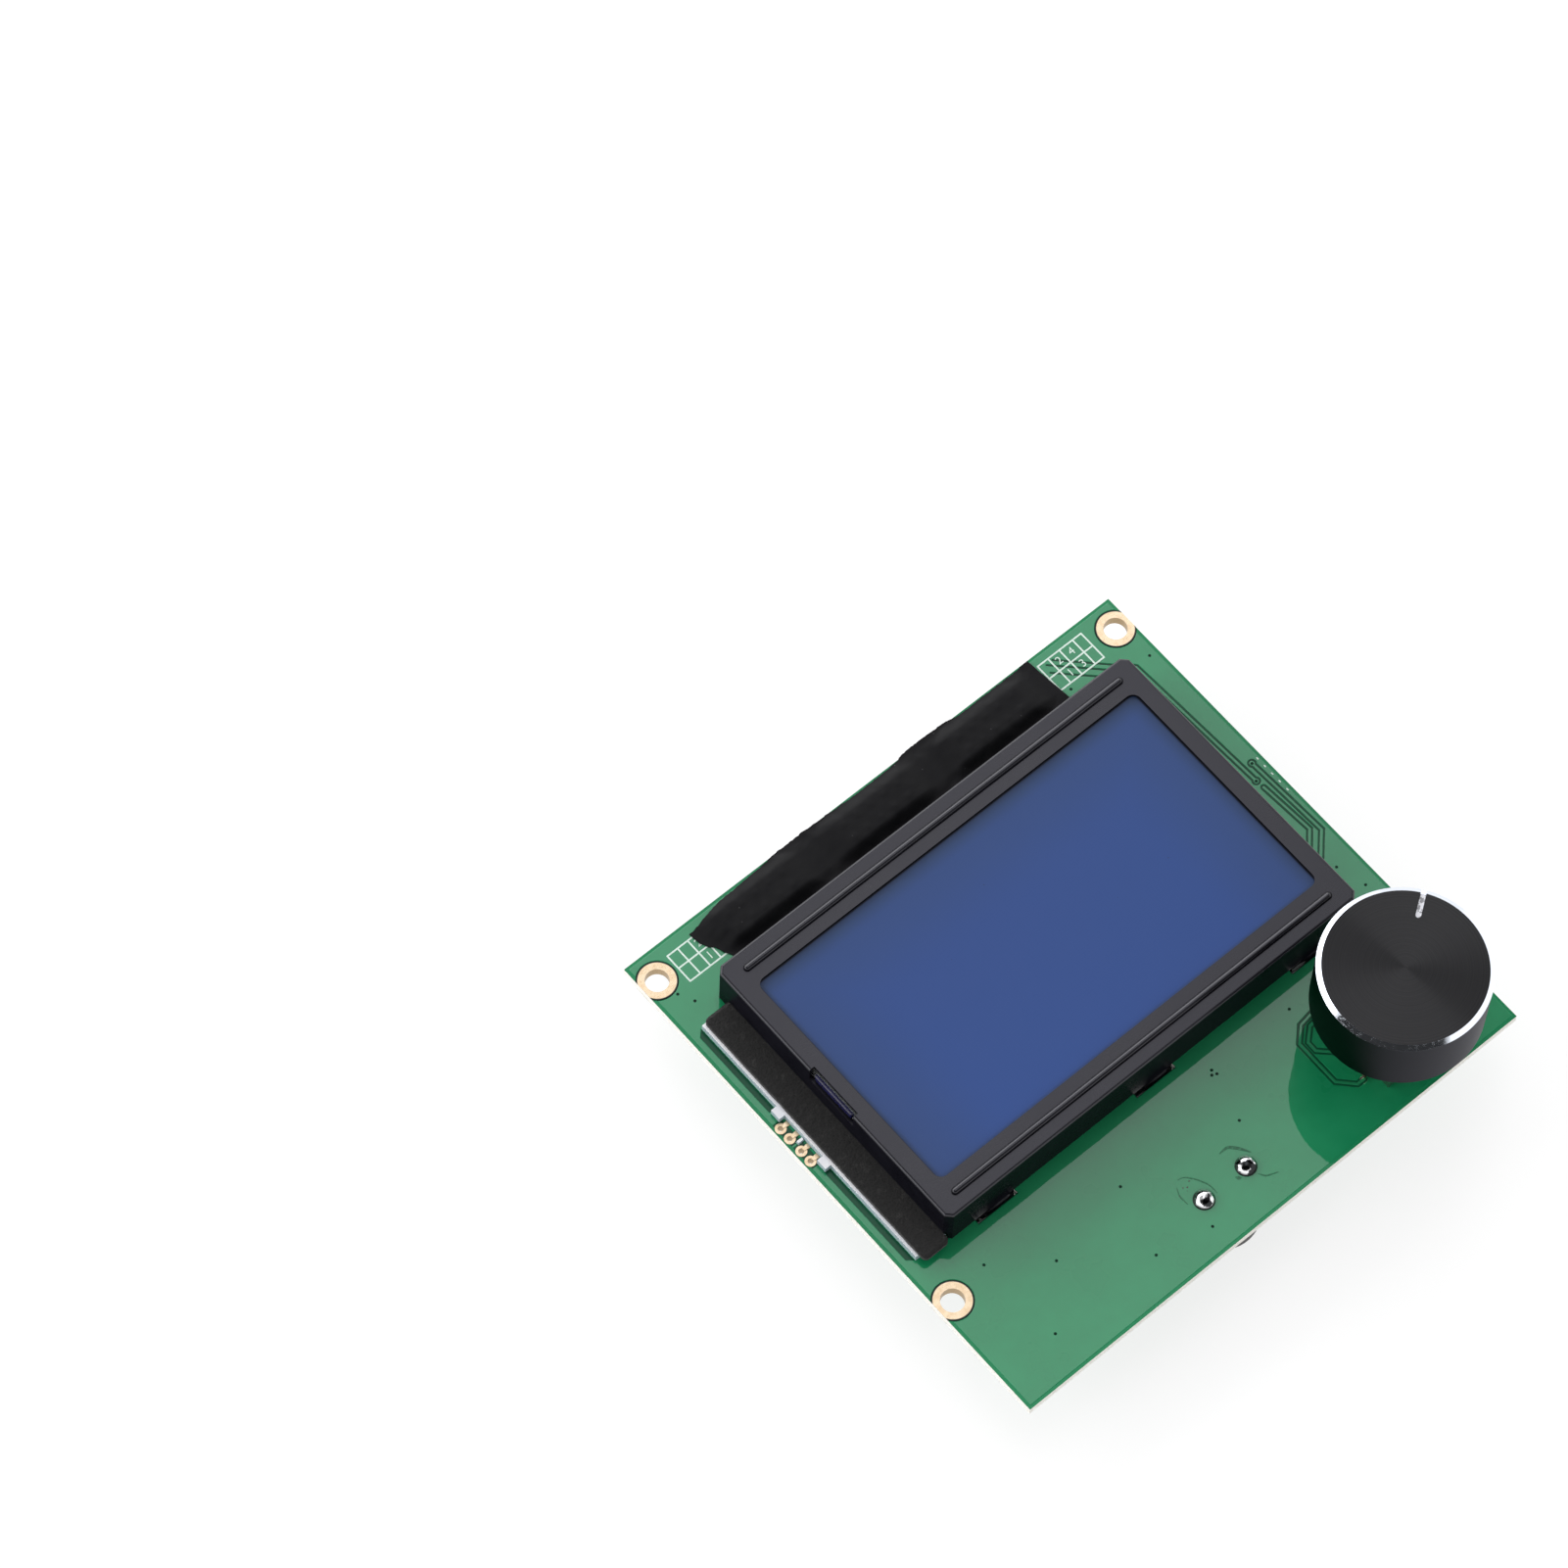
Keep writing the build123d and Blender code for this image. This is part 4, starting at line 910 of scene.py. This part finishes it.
def film_edge(x):
    """The torn outer edge, which runs over and short of the board's edge."""
    y = film_edge_marks[-1][1]
    for (x0, y0), (x1, y1) in zip(film_edge_marks, film_edge_marks[1:]):
        if x0 <= x <= x1:
            y = y0 + (y1 - y0) * smooth(x0, x1, x)
    ragged = 0.09 * rough(x * 1.7, 3.1) + 0.1 * rough(x * 4.1, 8.4)
    return min(y + ragged, tape_high.y - 0.01)


def film_height(x, y, left, right):
    row_y = header_centres[0].y
    across = smooth(tape_low.y + 0.15, row_y - 2.1, y) * (1 - 0.68 * smooth(row_y + 2, board_high.y - 0.1, y))
    ends = smooth(left, left + 3.5, x) * (1 - smooth(right - 3.5, right, x))
    lift = film_inner * group_lift(x) * across * (0.15 + 0.85 * ends)
    for centre in header_centres:
        if abs(x - centre.x) > 8:
            continue
        for i in range(5):
            for side in (-1, 1):
                dx, dy = x - centre.x - (i - 2) * pin_pitch, y - row_y - side * pin_pitch / 2
                lift += 0.09 * exp(-(dx * dx + dy * dy) / 0.35)
    slack = across * (1 - across) * 4
    lift += 0.05 * slack * sin(x * 1.9 + 2.5 * rough(x * 0.4, y * 0.7))
    lift += 0.035 * rough(x * 0.5, y * 0.8, 2) * smooth(0.1, 0.4, lift)
    return max(copper_rise + 0.005, lift)


def insulating_film():
    points = []
    columns, rows = 230, 40
    for side in (1, 0):
        for i in range(columns + 1):
            for j in range(rows + 1):
                u, v = i / columns, j / rows
                left = -33.3 - 2.7 * v + 0.35 * rough(v * 6, 1) + 0.3 * sin(v * 7)
                right = 31.35 - 0.9 * v + 0.08 * rough(v * 5, 7)
                x = left + (right - left) * u
                low_edge = tape_low.y + 0.06 * rough(x * 0.4, 5) + 0.05
                y = low_edge + (film_edge(x) - low_edge) * v
                height = film_height(x, y, left, right)
                points.append((x, y, min(front + height + side * film_thickness, tape_high.z)))
    piece = mesh_piece("insulating_film", points, slab_faces(0, columns, rows), tape_black,
                       50)
    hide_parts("insulating_tape")


insulating_film()


# Foam strip on the backlight's tail
def foam_strip():
    low, high = foam_low + Vector((0.16, 0.06, 0)), foam_high - Vector((0, 0.06, 0.06))
    length = high.y - low.y
    round_end, corner = 0.8, 0.22
    columns, levels, corner_steps, rows, end_steps = 26, 5, 5, 170, 12
    ends = [round_end * (1 - cos(pi / 2 * i / end_steps)) for i in range(end_steps)]
    middle = [round_end + (length - 2 * round_end) * i / rows for i in range(rows + 1)]
    distances = ends + middle + [length - d for d in reversed(ends)]
    profile = [(low.x, low.z + (high.z - corner - low.z) * i / levels) for i in range(levels + 1)]
    profile += arc(low.x + corner, high.z - corner, corner, pi, pi / 2, corner_steps)[1:]
    profile += [(low.x + corner + (high.x - corner - low.x) * i / columns, high.z)
                for i in range(1, columns + 1)]
    profile += [(high.x, high.z - (high.z - low.z) * i / levels) for i in range(1, levels + 1)]
    points = []
    for distance in distances:
        y = low.y + distance
        from_end = min(distance, length - distance, round_end)
        inset = round_end - sqrt(round_end ** 2 - (round_end - from_end) ** 2)
        insets = inset * (2 if distance < round_end else 1)
        shrink = 1 - 0.3 * (1 - smooth(0, 0.5, from_end))
        for full_x, z in profile:
            x = low.x + inset + (full_x - low.x) * (1 - insets / (high.x - low.x))
            pore = rough(x * 3.1, y * 3.1, z * 3.1) + 0.6 * rough(x * 7.3, y * 7.3, z * 7.3)
            sway = 0.07 * rough(y * 0.25, 4) * (1 - smooth(low.x, low.x + 1.5, x))
            height = low.z + (z - low.z) * shrink + 0.035 * (pore - 0.9) * smooth(low.z, high.z, z)
            edge = x + 0.03 * (pore + 0.9) * (1 if full_x < low.x + corner else 0) + abs(sway)
            points.append((min(edge, high.x), y, min(max(height, low.z), high.z)))
    width, last = len(profile), len(distances) - 1
    faces = [face for j in range(last) for face in ring_faces((j + 1) * width, j * width, width)]
    faces += [tuple(range(width)), tuple(last * width + i for i in range(width))[::-1]]
    piece = mesh_piece("foam_strip", points, faces, foam_black, 50)
    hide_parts("foam_pad")


foam_strip()


# Small things on the front
def backlight_tabs():
    """Soldered tabs from the backlight's edge onto its four pads, and the white bar between the pairs."""
    x = pads_high.x
    loops = []
    for y in (pads_low.y + 0.85, pads_low.y + 2.85, pads_high.y - 2.85, pads_high.y - 0.85):
        loops.append([(x - 0.55, y - 0.3), (x + 0.35, y - 0.42), (x + 0.62, y - 0.42), (x + 0.62, y + 0.42),
                      (x + 0.35, y + 0.42), (x - 0.55, y + 0.3)])
    plate("backlight_tabs", loops, [], front + 0.08, 0.09, 0.06, gold)
    plate("backlight_key", [rectangle(x - 0.55, x + 0.55, -0.28, 0.28)], [], front, 0.5, 0.08, white_plastic)


backlight_tabs()

# Residue round the buzzer's two joints: the joint's number, places from its middle, width
joint_radius = 1.65
speck_clearance = 0.34
flux_streaks = [
    (0, [(-1.14, 4.62), (0.02, 4.57), (1.33, 2.92), (2.16, 1.12), (2.13, -0.69)], 0.24),
    (0, [(-1.69, 3.98), (-2.31, 2.67), (-2.23, 0.77)], 0.22),
    (1, [(0.45, -1.85), (1.17, -3), (3.11, -3.71)], 0.26),
    (1, [(-2.29, -0.28), (-2, -0.75), (-1.65, -0.92)], 0.5),
    (1, [(-1.87, 3.77), (-0.05, 3.89), (1.15, 2.52), (2.1, 0.9)], 0.5),
]


def tapered(points, width, count=24):
    """Outline of a curved streak that is widest in its middle and thins out to both ends."""
    path = [Vector(p) for p in points]
    lengths = [0]
    for a, b in zip(path, path[1:]):
        lengths.append(lengths[-1] + (b - a).length)
    rounded = []
    for i in range(count + 1):
        goal = lengths[-1] * i / count
        part = max(k for k in range(len(path) - 1) if lengths[k] <= goal + 1e-9)
        share = (goal - lengths[part]) / (lengths[part + 1] - lengths[part])
        rounded.append(path[part].lerp(path[part + 1], share))
    for _ in range(6):
        inner = [(a + b * 2 + c) / 4 for a, b, c in zip(rounded, rounded[1:], rounded[2:])]
        rounded = [rounded[0], *inner, rounded[-1]]
    left, right = [], []
    for i in range(1, count):
        along = (rounded[i + 1] - rounded[i - 1]).normalized()
        normal = Vector((-along.y, along.x))
        half = width / 2 * (0.25 + 0.75 * sin(pi * i / count))
        left.append(tuple(rounded[i] + normal * half))
        right.append(tuple(rounded[i] - normal * half))
    return right + left[::-1]


def separate(loops):
    """Only the loops that lie clear of the ones kept before them."""
    kept = []
    for loop in loops:
        centre = sum((Vector(p) for p in loop), Vector((0, 0))) / len(loop)
        if all((centre - other).length > speck_clearance for other, _ in kept):
            kept.append((centre, loop))
    return [loop for _, loop in kept]


def flux_marks():
    """Streaks of residue and a few specks beside the two buzzer joints."""
    random.seed(11)
    low, high = box_mm("buzzer_solder")
    middle_y = (low.y + high.y) / 2
    joint_x = (low.x + joint_radius, high.x - joint_radius)
    streaks = [tapered([(joint_x[number] + dx, middle_y + dy) for dx, dy in places], width)
               for number, places, width in flux_streaks]
    plate("flux_outlines", streaks, [], front + copper_rise, 0.02, 0.03, flux)
    specks = []
    for _ in range(7):
        x = joint_x[0] - 0.4 + random.uniform(-0.8, 0.7)
        y = middle_y + 2.9 + random.uniform(-0.7, 0.6)
        radius = random.uniform(0.06, 0.14)
        specks.append([(x + radius * random.uniform(0.7, 1.2) * cos(t), y + radius * sin(t))
                       for t in [2 * pi * i / 9 for i in range(9)]])
    plate("flux_specks", separate(specks), [], front + copper_rise, 0.04, 0.02, potting)


flux_marks()


def tab_lips():
    """The bezel's bent tab ends, which fill the greater part of each slot in the board."""
    points, faces = [], []
    columns, rows, sheet = 26, 5, 0.3
    for x0 in tab_x:
        start, stop = x0 - 3.5, x0 + 3.45
        for side, wall in ((-1, bezel_low.y), (1, bezel_high.y)):
            faces += facing(slab_faces(len(points), columns, rows), side > 0)
            for below in (0, sheet):
                for i in range(columns + 1):
                    u = i / columns
                    lift = 0.25 + 0.95 * smooth(0, 0.55, u) - 0.5 * smooth(0.86, 1, u)
                    reach = 0.22 + 0.38 * smooth(0.05, 0.6, u) - 0.12 * smooth(0.85, 1, u)
                    for j in range(rows + 1):
                        v = j / rows
                        y = wall + side * (-0.5 + (0.5 + reach) * v)
                        z = lift + 0.25 * sin(pi * v) - 0.35 * v * v - below
                        points.append((start + (stop - start) * u, y, z))
    mesh_piece("bezel_tab_lips", points, faces, paint, 45)


def tab_glints():
    """Grey metal patches at the open end of the first and the last slot, which are painted glints in those
    slots.
    """
    y = bezel_low.y - 0.32
    first, last = tab_x[0], tab_x[2]
    near = [(first - 3.45, y - 0.24), (first - 2.75, y - 0.26), (first - 2.95, y + 0.26)]
    far = [(last - 3.4, y - 0.22), (last - 1.7, y - 0.3), (last - 0.9, y - 0.02), (last - 2.2, y + 0.26),
           (last - 3.3, y + 0.2)]
    plate("bezel_tab_glints", [near, far], [], front - 0.2, 0.26, 0.08, dull_tin)


tab_lips()
tab_glints()

# Camera at the photograph's place, floor and light
camera_place = Vector((-0.31051, -0.27895, 0.9083))
camera_azimuth, camera_elevation, camera_roll = (radians(a) for a in (-42.947, 64.039, 2.616))
camera_lens = 159.636


def camera():
    data = bpy.data.cameras.new("camera")
    data.lens = camera_lens
    data.clip_start, data.clip_end = 0.01, 50
    holder = add_object("camera", data)
    back = Vector((sin(camera_azimuth) * cos(camera_elevation),
                   -cos(camera_azimuth) * cos(camera_elevation), sin(camera_elevation)))
    level = Vector((0, 0, 1)).cross(back).normalized()
    right = level * cos(camera_roll) + back.cross(level) * sin(camera_roll)
    up = back.cross(right)
    holder.matrix_world = Matrix.Translation(camera_place) @ Matrix((right, up, back)).transposed().to_4x4()
    bpy.context.scene.camera = holder
    return back


def floor():
    """A pale floor that glows for camera, glossy and transmission rays and is clear from below."""
    mesh = bpy.data.meshes.new("floor")
    z = CAD_BOX[0].z
    corners = rectangle(-floor_size, floor_size, -floor_size, floor_size)
    mesh.from_pydata([(x, y, z) for x, y in corners], [], [(0, 1, 2, 3)])
    sheet = add_object("floor", mesh)
    material = bpy.data.materials.new("floor_paper")
    material.use_nodes = True
    material.node_tree.nodes.clear()
    wires = Wires(material.node_tree)
    matt = wires.value("BsdfDiffuse", (0.82, 0.82, 0.82))
    glow = wires.value("Emission", (1, 1, 1), floor_glow)
    seen = wires.value("LightPath", out="Is Camera Ray")
    for ray in ("Is Glossy Ray", "Is Transmission Ray"):
        seen = wires.math("MAXIMUM", seen, wires.value("LightPath", out=ray))
    paper = wires.value("MixShader", seen * floor_glow_share, matt, glow)
    under = wires.value("NewGeometry", out="Backfacing")
    wires.node("OutputMaterial", wires.value("MixShader", under, paper, wires.value("BsdfTransparent")))
    mesh.materials.append(material)


def studio(back):
    """A pale paper sweep all round, a dimmer ceiling and one large soft light over the board."""
    world = bpy.data.worlds.new("studio")
    bpy.context.scene.world = world
    world.use_nodes = True
    world.node_tree.nodes.clear()
    wires = Wires(world.node_tree)
    direction = wires.value("TexCoord", out="Generated")

    def toward(heading):
        return wires.value("VectorMath", direction, heading, out="Value", operation="DOT_PRODUCT")

    height = toward((0, 0, 1))
    nearness = toward(tuple(Vector((back.x, back.y, 0)).normalized()))
    side_turn = radians(side_light_heading)
    sideways = toward((cos(side_turn), sin(side_turn), 0))
    ceiling_starts = [sin(radians(a)) for a in (38.5, 40.5)]
    ceiling = nearness.span(0.08, 0.16, ceiling_level, dark_level)
    rising = height.span(0.05, 0.2) * sideways.span(0.25, 0.6, 0, side_light_level)
    band = wires.math("ADD", band_level, rising)
    level = wires.value("Mix", height.span(*ceiling_starts), None, band, ceiling)
    wires.node("OutputWorld", wires.value("Background", (1, 1, 1), level))

    light = bpy.data.lights.new("softbox", "AREA")
    light.shape = "RECTANGLE"
    light.size, light.size_y = softbox_sizes
    light.energy = softbox_radiance * pi * softbox_sizes[0] * softbox_sizes[1]
    light.color = (0.96, 0.95, 1)
    outward = Vector((-back.x, -back.y, back.z))
    across = Vector((0, 0, 1)).cross(outward).normalized()
    turned_to = Matrix((across, outward.cross(across), outward)).transposed().to_4x4()
    add_object("softbox", light).matrix_world = Matrix.Translation(outward * softbox_distance) @ turned_to


view_back = camera()
floor()
studio(view_back)
bpy.context.scene.view_settings.view_transform = "Standard"
